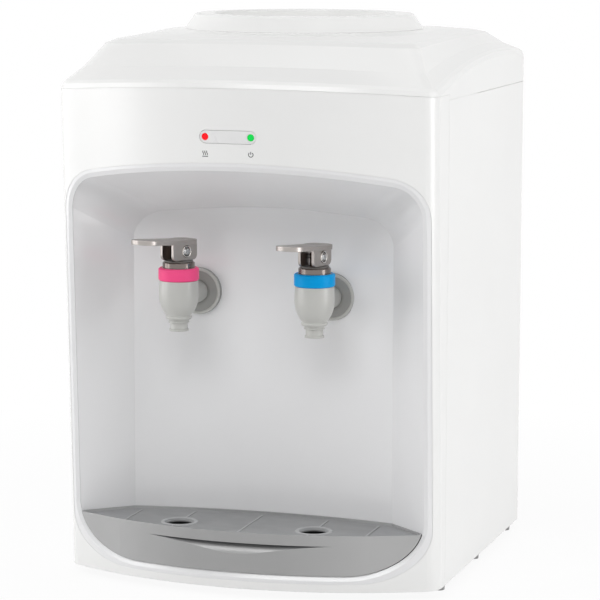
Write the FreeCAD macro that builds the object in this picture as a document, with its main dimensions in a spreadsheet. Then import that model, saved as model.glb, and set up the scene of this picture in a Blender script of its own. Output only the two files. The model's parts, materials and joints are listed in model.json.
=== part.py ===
"""Countertop water dispenser: bottle seat on top, reservoir and hot tank inside, two taps in an alcove.

The frame: +Z up from the table, +X to the right seen from the front, -Y towards the user. The origin
lies on the table under the middle of the whole dispenser. Distances called "setback" run from the
foremost line of the housing (the ridge of the front panel) to the rear. All lengths are millimetres.
"""
import FreeCAD
import Part
import Sketcher
import math
import os

V = FreeCAD.Vector

SIZES = {
    # housing
    "width": 300, "depth": 328, "rear_projection": 14, "foot_height": 7, "foot_radius": 5,
    "foot_inset": 8.5, "foot_taper": 0.6, "foot_peg_radius": 2, "foot_peg_rise": 1,
    "foot_first_setback": 92, "foot_last_setback": 312,
    "front_radius": 306, "front_lean": 0.05, "corner_radius": 15, "rear_corner_radius": 4,
    "ridge_height": 394, "ridge_drop": 6, "seam_height": 379, "panel_split_setback": 77,
    "wall": 3, "seam_gap": 0.2, "fit": 0.3, "clearance": 0.1, "edge_round": 5,
    "side_crown_height": 409.6, "side_crown_setback": 244, "side_crown_radius": 755,
    "plateau_margin": 25, "plateau_front_setback": 62, "plateau_rear_setback": 304,
    "plateau_front_height": 419.2, "plateau_rise": 2.8, "plateau_crown": 1.3,
    "plateau_corner_radius": 18, "plateau_front_radius": 1200,
    # alcove
    "pillar": 4.5, "window_top": 333.3, "window_bottom": 13.3, "window_top_radius": 700,
    "window_shoulder_radius": 32, "window_foot_width": 56, "window_foot_height": 40,
    "rim_band": 6, "rim_gap": 0.2, "rim_recess": 0.2, "rim_depth": 3, "rim_bevel": 3.5,
    "rim_bevel_depth": 2, "liner_wall": 2.5, "cheek_splay": 34, "alcove_corner_setback": 84,
    "alcove_bow": 10.5,
    "alcove_back_top": 295.6, "alcove_back_crown": 550, "alcove_back_shoulder": 25,
    # drip tray
    "tray_top": 51.2, "grate_top": 49.5, "grate_thickness": 2.2, "tray_floor": 2.5, "tray_recess": 0.6,
    "tray_clearance": 0.4, "tray_front_wall": 12.5, "facet_margin": 50, "grip_height": 42.8,
    "grip_depth": 9, "grip_drop": 10, "tray_lip": 1, "tray_rim": 6, "tray_ledge": 2.4,
    "tray_front_lip": 1.8, "grate_end_margin": 51.6,
    "drain_ring_radius": 14.5, "drain_hole_radius": 10.2, "drain_ring_height": 0.8,
    "grate_line_width": 1.2, "grate_line_height": 0.5, "grate_line_inset": 0.6,
    # bottle seat
    "collar_setback": 193, "seat_plane": 426, "collar_foot_radius": 95.5, "collar_top_radius": 87.3,
    "collar_top": 438, "collar_lip": 2, "collar_mouth_radius": 73, "bowl_radius": 69, "bowl_wall": 2.5,
    "bowl_bottom": 388, "bowl_corner": 7, "bowl_shoulder": 429, "seat_clearance": 0.5,
    "sleeve_radius": 17, "sleeve_drop": 5, "seal_radius": 22, "seal_thickness": 1.5,
    "probe_radius": 13, "probe_wall": 2.5, "probe_top": 424, "probe_bottom": 330, "probe_nose": 7,
    "probe_flange": 2.5, "probe_window_width": 9, "probe_window_height": 14,
    # reservoir and hot tank
    "reservoir_radius": 84, "reservoir_wall": 2.2, "reservoir_top": 374, "reservoir_bottom": 282,
    "gasket_thickness": 2, "lid_thickness": 2.5, "lid_skirt": 9, "baffle_height": 312,
    "baffle_thickness": 2, "baffle_hole_radius": 6,
    "tank_radius": 52, "tank_wall": 1, "tank_bottom": 70, "tank_top": 190, "tank_setback": 235,
    "tank_x": -24, "band_bottom": 108, "band_height": 40, "band_thickness": 2.6,
    "strap_thickness": 1.6, "strap_foot": 12, "tank_strap_width": 56, "tank_strap_span": 88,
    "cradle_width": 40, "cradle_span": 184, "thermostat_radius": 9, "thermostat_rise": 8,
    "stub_radius": 4, "stub_bore": 2.8, "stub_length": 12, "drain_stub_length": 9,
    "ambient_outlet_setback": 141, "hot_outlet_setback": 221, "feed_x": 62, "feed_height": 88,
    "hose_radius": 6, "hose_bend": 16,
    # taps
    "tap_spacing": 108.8, "tap_setback": 45.8, "nozzle_height": 199.5, "inlet_height": 25,
    "nozzle_radius": 6.65, "nozzle_flare": 7.5, "nozzle_bore": 4.6, "step_radius": 7.8,
    "step_bottom": 6.4, "collar_radius": 9.7, "collar_bottom": 9.4, "egg_bottom": 12.2,
    "egg_radius": 15.3, "egg_middle": 28, "egg_top_radius": 14.8, "seat_bottom": 16,
    "chamber_bottom": 22, "chamber_radius": 10.6, "ring_radius": 15.6, "ring_bottom": 39,
    "ring_height": 9.8, "ring_bevel": 0.9, "neck_radius": 12.7, "bonnet_radius": 12.4,
    "bonnet_top": 53.4, "bonnet_bevel": 0.8, "bonnet_plug": 5, "washer_radius": 11,
    "washer_thickness": 0.8, "stem_radius": 3.6, "stem_top": 64.4, "plug_radius": 8.5,
    "plug_top": 22, "stem_flange_radius": 7.6, "stem_flange": 1.5, "spigot_radius": 2.5, "spigot_length": 3,
    "spring_radius": 5.8, "spring_wire": 1, "spring_turns": 4.5,
    "pipe_radius": 8.6, "pipe_bore": 4.5, "pipe_end": 42, "shank_radius": 8, "shank_end": 60,
    "barb_end": 71, "flange_radius": 18.5, "flange_edge": 2, "nut_across_flats": 24,
    "nut_thickness": 6, "nut_start": 52, "gasket_radius": 12.5,
    "clevis_width": 14, "clevis_length": 26, "ear_thickness": 2.2, "ear_bottom": 54.7,
    "ear_round": 4, "lever_underside": 66.9, "lever_thickness": 3.4, "lever_width": 22,
    "lever_reach": 46.6, "lever_rear": 13.5, "lever_rear_round": 8, "lever_rise": 3.3,
    "pin_height": 61.5, "pin_setback": 1.3, "pin_radius": 1.8, "pin_head_radius": 3.2,
    "pin_head": 1.2, "running_fit": 0.06, "hot_lever_yaw": 24, "ambient_lever_yaw": 13,
    # lights
    "light_half_length": 22, "light_half_height": 4.8, "light_share": 0.352, "light_flange": 2.5,
    "light_flange_thickness": 1.2, "led_radius": 2.6, "led_foot": 0.4,
    "led_spacing": 35.7, "board_gap": 7, "board_height": 16,
    "board_thickness": 1.6, "boss_radius": 4, "boss_offset": 8,
    # back, base and rear fittings
    "base_thickness": 3, "base_wall_height": 18, "base_inset": 6, "back_thickness": 1,
    "lip_width": 11, "tongue_length": 8, "tongue_root": 6, "lip_screw_low": 45,
    "lip_screw_pitch": 145, "screw_radius": 1.5,
    "screw_head_radius": 3.5, "screw_head_height": 2, "louvre_length": 60, "louvre_height": 3.5,
    "louvre_pitch": 11, "louvre_count": 8, "low_louvre_height": 92, "high_louvre_height": 240,
    "switch_margin": 55, "switch_height": 300, "switch_width": 13, "switch_length": 28,
    "switch_depth": 18, "switch_frame": 1.5, "rocker_width": 10, "rocker_length": 24,
    "rocker_tilt": 8, "rocker_pivot": 3.8, "rocker_pin_radius": 1.5, "rocker_crest": 6,
    "rocker_saddle": 4.4, "rocker_edge": 3, "rocker_belly": 3.5, "terminal_width": 4.8,
    "terminal_length": 8, "terminal_thickness": 0.8, "terminal_pitch": 8,
    "gland_margin": 55, "gland_height": 60, "gland_radius": 8, "gland_flange": 11, "gland_length": 8,
    "gland_dome": 6, "gland_edge": 2.5, "gland_nut": 3,
    "cord_bore": 3.6, "drain_height": 44, "drain_radius": 9, "drain_bore": 5.5,
    "drain_flange_radius": 12.5, "drain_flange": 3, "drain_spout_length": 6, "cap_radius": 11,
    "cap_plug_length": 7.5, "cap_groove": 2,
}

doc = FreeCAD.newDocument("water_dispenser")
sheet = doc.addObject("Spreadsheet::Sheet", "sizes")
for row, (alias, amount) in enumerate(SIZES.items(), start=1):
    sheet.set("A%d" % row, alias)
    sheet.set("B%d" % row, str(amount))
    sheet.setAlias("B%d" % row, alias)
doc.recompute()


class Sizes:
    """Reads a driving dimension from the sheet by its alias."""

    def __getattr__(self, alias):
        return float(sheet.get(alias))


s = Sizes()
FRONT = "(-(sizes.depth + sizes.rear_projection) / 2)"
front_y = -(s.depth + s.rear_projection) / 2
rear_y = front_y + s.depth
fit = s.fit

# what follows the housing's width and height
window_half = s.width / 2 - s.pillar
alcove_back_half = window_half - s.rim_band - s.cheek_splay
plateau_half = s.width / 2 - s.plateau_margin
facet_half = s.width / 2 - s.facet_margin
grate_half = s.width / 2 - s.grate_end_margin
light_z = s.window_top + s.light_share * (s.ridge_height - s.edge_round - s.window_top)


def number(expression):
    """The value of an expression of the sheet."""
    found = sheet.evalExpression(str(expression))
    return float(getattr(found, "Value", found))


def setback(distance):
    """The Y of a point that lies this far behind the foremost line."""
    return front_y + distance


# ---------------------------------------------------------------- helpers for native features

def origin_plane(body, role):
    return next(plane for plane in body.Origin.OriginFeatures if plane.Role == role)


def new_sketch(body, role, name):
    sketch = body.newObject("Sketcher::SketchObject", name)
    sketch.AttachmentSupport = (origin_plane(body, role), "")
    sketch.MapMode = "FlatFace"
    return sketch


def bind(sketch, kind, geometry, point, expression):
    """Holds one coordinate of a sketch point at an expression of the sheet."""
    value = number(expression)
    if abs(value) < 1e-9:
        axis = -2 if kind == "DistanceX" else -1
        sketch.addConstraint(Sketcher.Constraint("PointOnObject", geometry, point, axis))
        return
    index = sketch.addConstraint(Sketcher.Constraint(kind, -1, 1, geometry, point, value))
    sketch.setExpression("Constraints[%d]" % index, str(expression))


def arc_through(start, end, radius, side):
    """The short arc between two points, anticlockwise; side 1 puts its centre on the left of the way."""
    chord = end - start
    reach = math.sqrt(max(radius ** 2 - (chord.Length / 2) ** 2, 0))
    left = V(-chord.y, chord.x, 0).normalize()
    centre = (start + end) * 0.5 + left * reach * side
    middle = (start + end) * 0.5 - centre
    middle = centre + middle.normalize() * radius if middle.Length > 1e-9 else centre - left * radius * side
    return Part.Arc(start, middle, end) if side > 0 else Part.Arc(end, middle, start)


def draw_outline(sketch, points):
    """A closed outline. A point is (x, y), or (x, y, radius, side) when an arc leads to it."""
    spots = [V(number(p[0]), number(p[1]), 0) for p in points]
    count = len(points)
    edges = []
    for i in range(count):
        start, end, target = spots[i], spots[(i + 1) % count], points[(i + 1) % count]
        if len(target) == 4:
            edges.append(arc_through(start, end, number(target[2]), target[3]))
        else:
            edges.append(Part.LineSegment(start, end))
    drawn = sketch.GeometryCount
    sketch.addGeometry(edges, False)
    first = []
    last = []
    for i in range(count):
        forward = (sketch.Geometry[drawn + i].StartPoint - spots[i]).Length < 1e-6
        first.append(1 if forward else 2)
        last.append(2 if forward else 1)
    for i in range(count):
        after = (i + 1) % count
        here, there = drawn + i, drawn + after
        sketch.addConstraint(Sketcher.Constraint("Coincident", here, last[i], there, first[after]))
        bind(sketch, "DistanceX", here, first[i], points[i][0])
        bind(sketch, "DistanceY", here, first[i], points[i][1])
        if len(points[after]) == 4:
            index = sketch.addConstraint(Sketcher.Constraint("Radius", here, number(points[after][2])))
            sketch.setExpression("Constraints[%d]" % index, str(points[after][2]))


def draw_circle(sketch, x, y, radius):
    index = sketch.GeometryCount
    sketch.addGeometry(Part.Circle(V(number(x), number(y), 0), V(0, 0, 1), number(radius)), False)
    bind(sketch, "DistanceX", index, 3, x)
    bind(sketch, "DistanceY", index, 3, y)
    constraint = sketch.addConstraint(Sketcher.Constraint("Radius", index, number(radius)))
    sketch.setExpression("Constraints[%d]" % constraint, str(radius))


def place(thing, x="0", y="0", z="0"):
    for axis, expression in zip("xyz", (x, y, z)):
        thing.setExpression(".Placement.Base." + axis, str(expression))


def new_body(label):
    body = doc.addObject("PartDesign::Body", label)
    body.Label = label
    return body


def revolve(body, outline, name="turned"):
    """Turns an outline of (radius, height) points about the body's own Z axis."""
    sketch = new_sketch(body, "XZ_Plane", name + "_outline")
    draw_outline(sketch, outline)
    feature = body.newObject("PartDesign::Revolution", name)
    feature.Profile = sketch
    feature.ReferenceAxis = (sketch, ["V_Axis"])
    feature.Angle = 360
    doc.recompute()
    return feature


def pad(body, role, outline, length, name="pad"):
    sketch = new_sketch(body, role, name + "_outline")
    draw_outline(sketch, outline)
    feature = body.newObject("PartDesign::Pad", name)
    feature.Profile = sketch
    feature.setExpression("Length", str(length))
    doc.recompute()
    return feature


def pocket(body, role, circles=(), outlines=(), name="holes"):
    """Cuts circles and outlines through the whole body, and makes sure that it cut."""
    before = body.Shape.Volume
    sketch = new_sketch(body, role, name + "_outline")
    for circle in circles:
        draw_circle(sketch, *circle)
    for outline in outlines:
        draw_outline(sketch, outline)
    feature = body.newObject("PartDesign::Pocket", name)
    feature.Profile = sketch
    feature.Type = 1
    feature.Midplane = True
    doc.recompute()
    if not body.Shape.Volume < before - 1e-6:
        raise ValueError(body.Label + ": " + name + " cuts nothing")
    return feature


def turned(label, outline, x="0", y="0", z="0"):
    body = new_body(label)
    revolve(body, outline)
    place(body, x, y, z)
    return body


def feature(label, shape, base=None, rotation=None):
    """A piece made with Part's own functions, in the dispenser's frame or at a placement of its own."""
    thing = doc.addObject("Part::Feature", label)
    thing.Label = label
    thing.Shape = shape.removeSplitter() if shape.ShapeType in ("Solid", "Compound") else shape
    if base is not None:
        thing.Placement = FreeCAD.Placement(base, rotation or FreeCAD.Rotation())
    return thing


# ---------------------------------------------------------------- helpers for Part's own functions

def turned_solid(outline):
    """Turns an outline of (radius, height) pairs about Z."""
    points = [V(radius, 0, height) for radius, height in outline]
    return Part.Face(Part.makePolygon(points + points[:1])).revolve(V(0, 0, 0), V(0, 0, 1), 360)


def copies_at(shape, spots):
    """Copies of one shape as separate solids of one piece."""
    copies = []
    for x, y, z in spots:
        copy = shape.copy()
        copy.translate(V(x, y, z))
        copies.append(copy)
    return Part.makeCompound(copies)


# ---------------------------------------------------------------- outlines of the housing

def apex(height):
    """The Y of the front's middle at a height: the front leans forward up to its rounded ridge."""
    return front_y + s.front_lean * (s.ridge_height - s.edge_round - height)


def arc_run(cx, cy, radius, start, end):
    """Start, middle and end of an arc; angles go from -Y, anticlockwise seen from above."""
    angles = (start, (start + end) / 2, end)
    return [(cx + radius * math.sin(a), cy - radius * math.cos(a)) for a in angles]


def plan_runs(half_width, front, radius, corner, rear, rear_corner):
    """A plan outline as eight runs of three points each: front, corner, side, corner, rear and on round."""
    cx = half_width - corner
    cy = front + radius - math.sqrt((radius - corner) ** 2 - cx ** 2)
    half = math.atan2(cx, front + radius - cy)
    near = arc_run(0, front + radius, radius, -half, half)
    turn = arc_run(cx, cy, corner, half, math.pi / 2)
    rear_x, rear_start = half_width - rear_corner, rear - rear_corner
    side = [(half_width, y) for y in (cy, (cy + rear_start) / 2, rear_start)]
    rear_turn = arc_run(rear_x, rear_start, rear_corner, math.pi / 2, math.pi)
    back = [(x, rear) for x in (rear_x, 0, -rear_x)]

    def mirrored(run):
        return [(-x, y) for x, y in reversed(run)]

    return [near, turn, side, rear_turn, back, mirrored(rear_turn), mirrored(side), mirrored(turn)]


def housing_runs(inset, height):
    return plan_runs(s.width / 2 - inset, apex(height) + inset, s.front_radius - inset,
                     max(s.corner_radius - inset, 1), rear_y - inset,
                     max(s.rear_corner_radius - inset, 1))


def closed_wire(runs):
    """One edge for each run of three points: an arc, or a line where they lie in line."""
    edges = []
    for run in runs:
        start, middle, end = (V(*point) for point in run)
        bend = (middle - start).cross(end - start).Length
        edges.append(Part.Arc(start, middle, end).toShape() if bend > 1e-6 else Part.makeLine(start, end))
    return Part.Wire(edges)


def front_point(x, inset, height):
    """The Y of the housing's front at a half-width x and a height."""
    runs_front = apex(height) + inset
    radius, corner = s.front_radius - inset, s.corner_radius - inset
    cx = s.width / 2 - inset - corner
    cy = runs_front + radius - math.sqrt((radius - corner) ** 2 - cx ** 2)
    angle = math.atan2(cx, runs_front + radius - cy)
    if x <= radius * math.sin(angle):
        return runs_front + radius - math.sqrt(radius ** 2 - x ** 2)
    return cy - math.sqrt(corner ** 2 - (x - cx) ** 2)


def leaning_column(inset, bottom, top):
    """The housing's plan, extruded along the lean of its front, with a plumb rear."""
    half = s.width / 2 - inset
    radius = s.front_radius - inset
    corner = max(s.corner_radius - inset, 1)
    front = apex(bottom) + inset
    cx = half - corner
    cy = front + radius - math.sqrt((radius - corner) ** 2 - cx ** 2)
    angle = math.atan2(cx, front + radius - cy)
    far = rear_y + s.width / 4

    def at(x, y):
        return V(x, y, bottom)

    def on_corner(side, a):
        return at(side * (cx + corner * math.sin(a)), cy - corner * math.cos(a))

    middle = (angle + math.pi / 2) / 2
    edges = [Part.Arc(on_corner(-1, angle), at(0, front), on_corner(1, angle)).toShape(),
             Part.Arc(on_corner(1, angle), on_corner(1, middle), at(half, cy)).toShape(),
             Part.makeLine(at(half, cy), at(half, far)),
             Part.makeLine(at(half, far), at(-half, far)),
             Part.makeLine(at(-half, far), at(-half, cy)),
             Part.Arc(at(-half, cy), on_corner(-1, middle), on_corner(-1, angle)).toShape()]
    rise = top - bottom
    column = Part.Face(Part.Wire(edges)).extrude(V(0, -s.front_lean * rise, rise))
    keep = Part.makeBox(2 * s.width, 2 * s.depth, rise, V(-s.width, rear_y - inset - 2 * s.depth, bottom))
    return column.common(keep)


def ridge_line(x):
    return s.ridge_height - s.ridge_drop * (x / (s.width / 2)) ** 2


def edge_height(x, y, drop):
    """The height of the top edge all round: the ridge in front, one long arch along each side."""
    ridge = ridge_line(x)
    arch = s.side_crown_height - (y - setback(s.side_crown_setback)) ** 2 / (2 * s.side_crown_radius)
    return (ridge + arch + math.hypot(ridge - arch, s.wall)) / 2 - drop


def plateau_height(x, y, drop):
    along = (y - setback(s.plateau_front_setback)) / (s.plateau_rear_setback - s.plateau_front_setback)
    crown = s.plateau_crown * (1 - (x / plateau_half) ** 2)
    return s.plateau_front_height + s.plateau_rise * along + crown - drop


def below_ridge(gap):
    """Everything in front of the panel split and under the crowned ridge, less a gap."""
    top = s.ridge_height - s.edge_round - gap
    end = top - s.ridge_drop
    reach = s.width / 2 + s.wall
    points = [V(-reach, 0, end), V(0, 0, top), V(reach, 0, end)]
    edges = [Part.Arc(*points).toShape(),
             Part.makeLine(V(reach, 0, end), V(reach, 0, 0)),
             Part.makeLine(V(reach, 0, 0), V(-reach, 0, 0)),
             Part.makeLine(V(-reach, 0, 0), V(-reach, 0, end))]
    face = Part.Face(Part.Wire(edges))
    face.translate(V(0, front_y - s.wall, 0))
    return face.extrude(V(0, s.panel_split_setback + s.wall + s.seam_gap - gap, 0))


# ---------------------------------------------------------------- top cover

def cover_body(inset):
    """The outside of the top cover, or with an inset the hollow under it."""
    drop = inset
    rounding = max(s.edge_round - inset, 2)
    base = [s.width / 2 - inset - rounding * 0.8, apex(s.ridge_height) + inset + rounding * 0.8,
            s.front_radius - inset, max(s.corner_radius - inset - rounding * 0.8, 2),
            rear_y - inset - rounding * 0.8, max(s.rear_corner_radius - inset - rounding * 0.8, 1.5)]
    plateau = [plateau_half - inset, setback(s.plateau_front_setback) + inset,
               s.plateau_front_radius, s.plateau_corner_radius,
               setback(s.plateau_rear_setback) - inset, s.plateau_corner_radius]

    def blended(share):
        values = [a + (b - a) * share for a, b in zip(base, plateau)]
        values[2] = 1 / (1 / base[2] + (1 / plateau[2] - 1 / base[2]) * share)
        return plan_runs(*values)

    outer, inner = blended(0), blended(1)
    centre = V(0, setback(s.collar_setback), 0)
    radius = s.collar_foot_radius + 1.5 - inset
    ends = [math.atan2(run[0][0], -(run[0][1] - centre.y)) for run in inner]
    seat = []
    for i, run in enumerate(inner):
        start, end = ends[i], ends[(i + 1) % 8]
        end += 2 * math.pi if end < start else 0
        seat.append(arc_run(0, centre.y, radius, start, end))

    def wall_ring(run_set, lift):
        return closed_wire([[(x, y, edge_height(x, y, drop) + lift) for x, y in run] for run in run_set])

    def between(plan, low, high, rise):
        rings = []
        for run, from_run, to_run in zip(plan, low, high):
            rings.append([(x, y, a + (b - a) * rise) for (x, y), a, b in zip(run, from_run, to_run)])
        return closed_wire(rings)

    edge_heights = [[edge_height(x, y, drop) for x, y in run] for run in outer]
    plateau_heights = [[plateau_height(x, y, drop) for x, y in run] for run in inner]
    seat_heights = [[s.seat_plane - drop for _ in run] for run in inner]
    low = [[(x, y, s.seam_height - drop) for x, y in run]
           for run in housing_runs(inset, s.seam_height - drop)]
    wires = [closed_wire(low), wall_ring(housing_runs(inset, s.ridge_height - s.edge_round), -rounding)]
    if not inset:
        slant = 1 - math.sqrt(0.5)
        wires.append(wall_ring(housing_runs(rounding * slant, s.ridge_height), -rounding * slant))
    cove = ((0, 0.03), (0.45, 0.36), (0.95, 0.93)) if not inset else ((0, 0), (1, 1))
    for share, rise in cove:
        wires.append(between(blended(share), edge_heights, plateau_heights, rise))
    crown = ((0.1, 0.15), (0.55, 0.75), (1, 1)) if not inset else ((1, 1),)
    for share, rise in crown:
        ring = [[(x + (u - x) * share, y + (v - y) * share) for (x, y), (u, v) in zip(a, b)]
                for a, b in zip(inner, seat)]
        wires.append(between(ring, plateau_heights, seat_heights, rise))
    skin = Part.makeLoft(wires, False, True)
    shell = Part.makeShell(skin.Faces + [Part.Face(wires[0]), Part.Face(wires[-1])])
    shell.sewShape()
    solid = Part.makeSolid(shell)
    if solid.Volume < 0:
        solid.reverse()
    return solid


def top_cover():
    radius = s.bowl_radius + s.bowl_wall + s.seat_clearance
    hole = Part.makeCylinder(radius, s.seat_plane, V(0, setback(s.collar_setback), s.seam_height))
    return cover_body(0).cut([cover_body(s.wall), hole, below_ridge(0)])


feature("top_cover", top_cover())


# ---------------------------------------------------------------- front panel and alcove liner

def window_prism(grow, near, far, only_foot=False):
    """The alcove's mouth, grown all round by a margin, from one Y to another, or its rounded foot alone."""
    half = window_half + grow
    shoulder = s.window_shoulder_radius + grow
    top, bottom = s.window_top + grow, s.window_bottom - grow
    radius = s.window_top_radius + grow
    cx = half - shoulder
    cz = top - radius + math.sqrt((radius - shoulder) ** 2 - cx ** 2)
    lean = math.atan2(cx, cz - (top - radius))
    foot_x, foot_z = half - s.window_foot_width, bottom + s.window_foot_height

    def at(x, z):
        return V(x, near, z)

    def shoulder_point(side, angle):
        return at(side * (cx + shoulder * math.sin(angle)), cz + shoulder * math.cos(angle))

    def foot(side):
        ellipse = Part.Ellipse(V(0, 0, 0), s.window_foot_width, s.window_foot_height)
        quarter = Part.Edge(ellipse, 1.5 * math.pi, 2 * math.pi)
        quarter.rotate(V(0, 0, 0), V(1, 0, 0), 90)
        if side < 0:
            quarter = quarter.mirror(V(0, 0, 0), V(1, 0, 0))
        quarter.translate(at(side * foot_x, foot_z))
        return quarter

    middle = (lean + math.pi / 2) / 2
    edges = [foot(1), Part.makeLine(at(foot_x, bottom), at(-foot_x, bottom)), foot(-1)]
    if only_foot:
        wide = half + s.window_foot_width
        corners = [at(-half, foot_z), at(-wide, foot_z), at(-wide, top + s.wall), at(wide, top + s.wall),
                   at(wide, foot_z), at(half, foot_z)]
        edges += [Part.makeLine(a, b) for a, b in zip(corners, corners[1:])]
    else:
        edges += [Part.Arc(shoulder_point(-1, lean), at(0, top), shoulder_point(1, lean)).toShape(),
                  Part.Arc(shoulder_point(1, lean), shoulder_point(1, middle), at(half, cz)).toShape(),
                  Part.makeLine(at(half, cz), at(half, foot_z)),
                  Part.makeLine(at(-half, foot_z), at(-half, cz)),
                  Part.Arc(at(-half, cz), shoulder_point(-1, middle), shoulder_point(-1, lean)).toShape()]
    wire = Part.Wire(Part.__sortEdges__(edges))
    return Part.Face(wire).extrude(V(0, far - near, 0))


def arch_runs(half, top, crown, shoulder):
    """An arch in front view as six runs of three (x, z) points: crown, shoulder, side, sill and on round."""
    cx = half - shoulder
    cz = top - crown + math.sqrt((crown - shoulder) ** 2 - cx ** 2)
    lean = math.atan2(cx, cz - (top - crown))
    over = [(crown * math.sin(a), top - crown + crown * math.cos(a)) for a in (-lean, 0, lean)]
    angles = (lean, (lean + math.pi / 2) / 2, math.pi / 2)
    turn = [(cx + shoulder * math.sin(a), cz + shoulder * math.cos(a)) for a in angles]
    side = [(half, z) for z in (cz, cz / 2, 0)]
    sill = [(x, 0) for x in (half, 0, -half)]
    left_side, left_turn = ([(-x, z) for x, z in reversed(run)] for run in (side, turn))
    return [over, turn, side, sill, left_side, left_turn]


def alcove_funnel(grow):
    """The splayed cheeks and sloped ceiling: from the rim, which follows the bowed front, to the back."""
    inset = grow - s.rim_band
    mouth = arch_runs(window_half + inset, s.window_top + inset, s.window_top_radius + inset,
                      s.window_shoulder_radius + inset)
    rear = arch_runs(alcove_back_half + grow, s.alcove_back_top + grow, s.alcove_back_crown + grow,
                     s.alcove_back_shoulder + grow)
    corner = setback(s.alcove_corner_setback)
    beyond = setback(s.alcove_corner_setback + s.alcove_bow) + 2 * s.liner_wall

    def onward(near, far):
        """Where a straight line from a point of the mouth through one of the rear passes the bow."""
        x, z = near
        y = front_point(abs(x), s.rim_depth, z)
        share = (beyond - y) / (corner - y)
        return x + (far[0] - x) * share, beyond, z + (far[1] - z) * share

    ahead = closed_wire([[(x, front_y - s.wall, z) for x, z in run] for run in mouth])
    rim = closed_wire([[(x, front_point(abs(x), s.rim_depth, z), z) for x, z in run] for run in mouth])
    end = closed_wire([[onward(*pair) for pair in zip(*runs)] for runs in zip(mouth, rear)])
    return Part.makeLoft([ahead, rim, end], True, True)


def before_back(grow):
    """Everything in front of the alcove's bowed back, or of a surface at a distance behind it."""
    radius = (alcove_back_half ** 2 + s.alcove_bow ** 2) / (2 * s.alcove_bow)
    centre = V(0, setback(s.alcove_corner_setback + s.alcove_bow) - radius, 0)
    return Part.makeCylinder(radius + grow, s.ridge_height, centre)


def alcove_space(grow):
    """The air in the alcove, or with a wall's growth the outside of the liner."""
    deep = setback(s.alcove_corner_setback + s.alcove_bow) + 3 * s.liner_wall
    sill = window_prism(grow - s.rim_band, front_y - s.wall, deep, True)
    return sill.common(alcove_funnel(grow)).common(before_back(grow))


def housing_skin(outer, inner):
    """The front's skin between two insets, from the table side of the base to the ridge."""
    bottom, top = s.foot_height, s.ridge_height
    return leaning_column(outer, bottom, top).cut(leaning_column(inner, bottom - 1, top + 1))


def light_slot(grow, near, far):
    half, high = s.light_half_length + grow, s.light_half_height + grow
    block = Part.makeBox(2 * (half - high), far - near, 2 * high, V(high - half, near, light_z - high))
    for side in (-1, 1):
        end = Part.makeCylinder(high, far - near, V(side * (half - high), near, light_z), V(0, 1, 0))
        block = block.fuse(end)
    return block.removeSplitter()


def front_panel():
    """The bowed front with its wrapped corners, the alcove's mouth and the slot for the lights."""
    deep = setback(s.panel_split_setback)
    skin = housing_skin(0, s.wall).common(below_ridge(s.seam_gap))
    panel = skin.cut([window_prism(s.rim_gap, front_y - s.wall, deep),
                      light_slot(s.rim_gap, front_y - s.wall, deep)])
    inside = leaning_column(s.wall, s.foot_height, s.ridge_height)
    for x in (-board_boss_x, board_boss_x):
        boss = Part.makeCylinder(s.boss_radius, board_front - front_y, V(x, front_y, light_z),
                                 V(0, 1, 0))
        pilot = Part.makeCylinder(s.screw_radius, s.wall + s.board_gap,
                                  V(x, board_front - s.board_gap + 1, light_z), V(0, 1, 0))
        panel = panel.fuse(boss.common(inside)).cut(pilot)
    return panel


def bounds_mouth(edge, band):
    """Whether an edge lies on the liner's front face, inside the band of the rim."""
    first, length = edge.FirstParameter, edge.LastParameter - edge.FirstParameter
    for share in (0.1, 0.5, 0.9):
        spot = edge.valueAt(first + length * share)
        face = front_point(min(abs(spot.x), s.width / 2), s.rim_recess, spot.z)
        if abs(spot.y - face) > 0.2 or not band.isInside(spot, 0.01, True):
            return False
    return True


def alcove_liner():
    """The grey liner: a bevelled rim in the panel's mouth, cheeks, ceiling and bowed back, two tap holes."""
    deep = setback(s.panel_split_setback)
    rim = window_prism(0, front_y - s.wall, deep - s.tongue_length - 1)
    rim = rim.common(housing_skin(s.rim_recess, s.rim_recess + 2 * s.wall))
    keep = leaning_column(s.rim_recess + s.wall, s.foot_height, s.ridge_height)
    liner = rim.fuse(alcove_space(s.liner_wall).common(keep)).cut(alcove_space(0))
    for x in (-s.tap_spacing / 2, s.tap_spacing / 2):
        hole = Part.makeCylinder(s.shank_radius + fit, s.depth / 3, V(x, setback(s.tap_setback), inlet_z),
                                 V(0, 1, 0))
        liner = liner.cut(hole)
    band = window_prism(1 - s.rim_band, front_y - s.wall, rear_y)
    mouth = [edge for edge in liner.Edges if bounds_mouth(edge, band)]
    return liner.makeChamfer(s.rim_bevel, s.rim_bevel_depth, mouth)


board_front = apex(light_z) + s.wall + s.board_gap
board_boss_x = s.light_half_length + s.boss_offset
inlet_z = s.nozzle_height + s.inlet_height

feature("front_panel", front_panel())
feature("alcove_liner", alcove_liner())


# ---------------------------------------------------------------- base, feet, side and back panels

tongue_y = setback(s.panel_split_setback + s.seam_gap - s.tongue_length)
foot_setbacks = (s.foot_first_setback, (s.foot_first_setback + s.foot_last_setback) / 2, s.foot_last_setback)
foot_spots = [(side * (s.width / 2 - s.foot_inset), setback(distance), 0)
              for side in (-1, 1) for distance in foot_setbacks]
floor_top = s.foot_height + s.base_thickness


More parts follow.
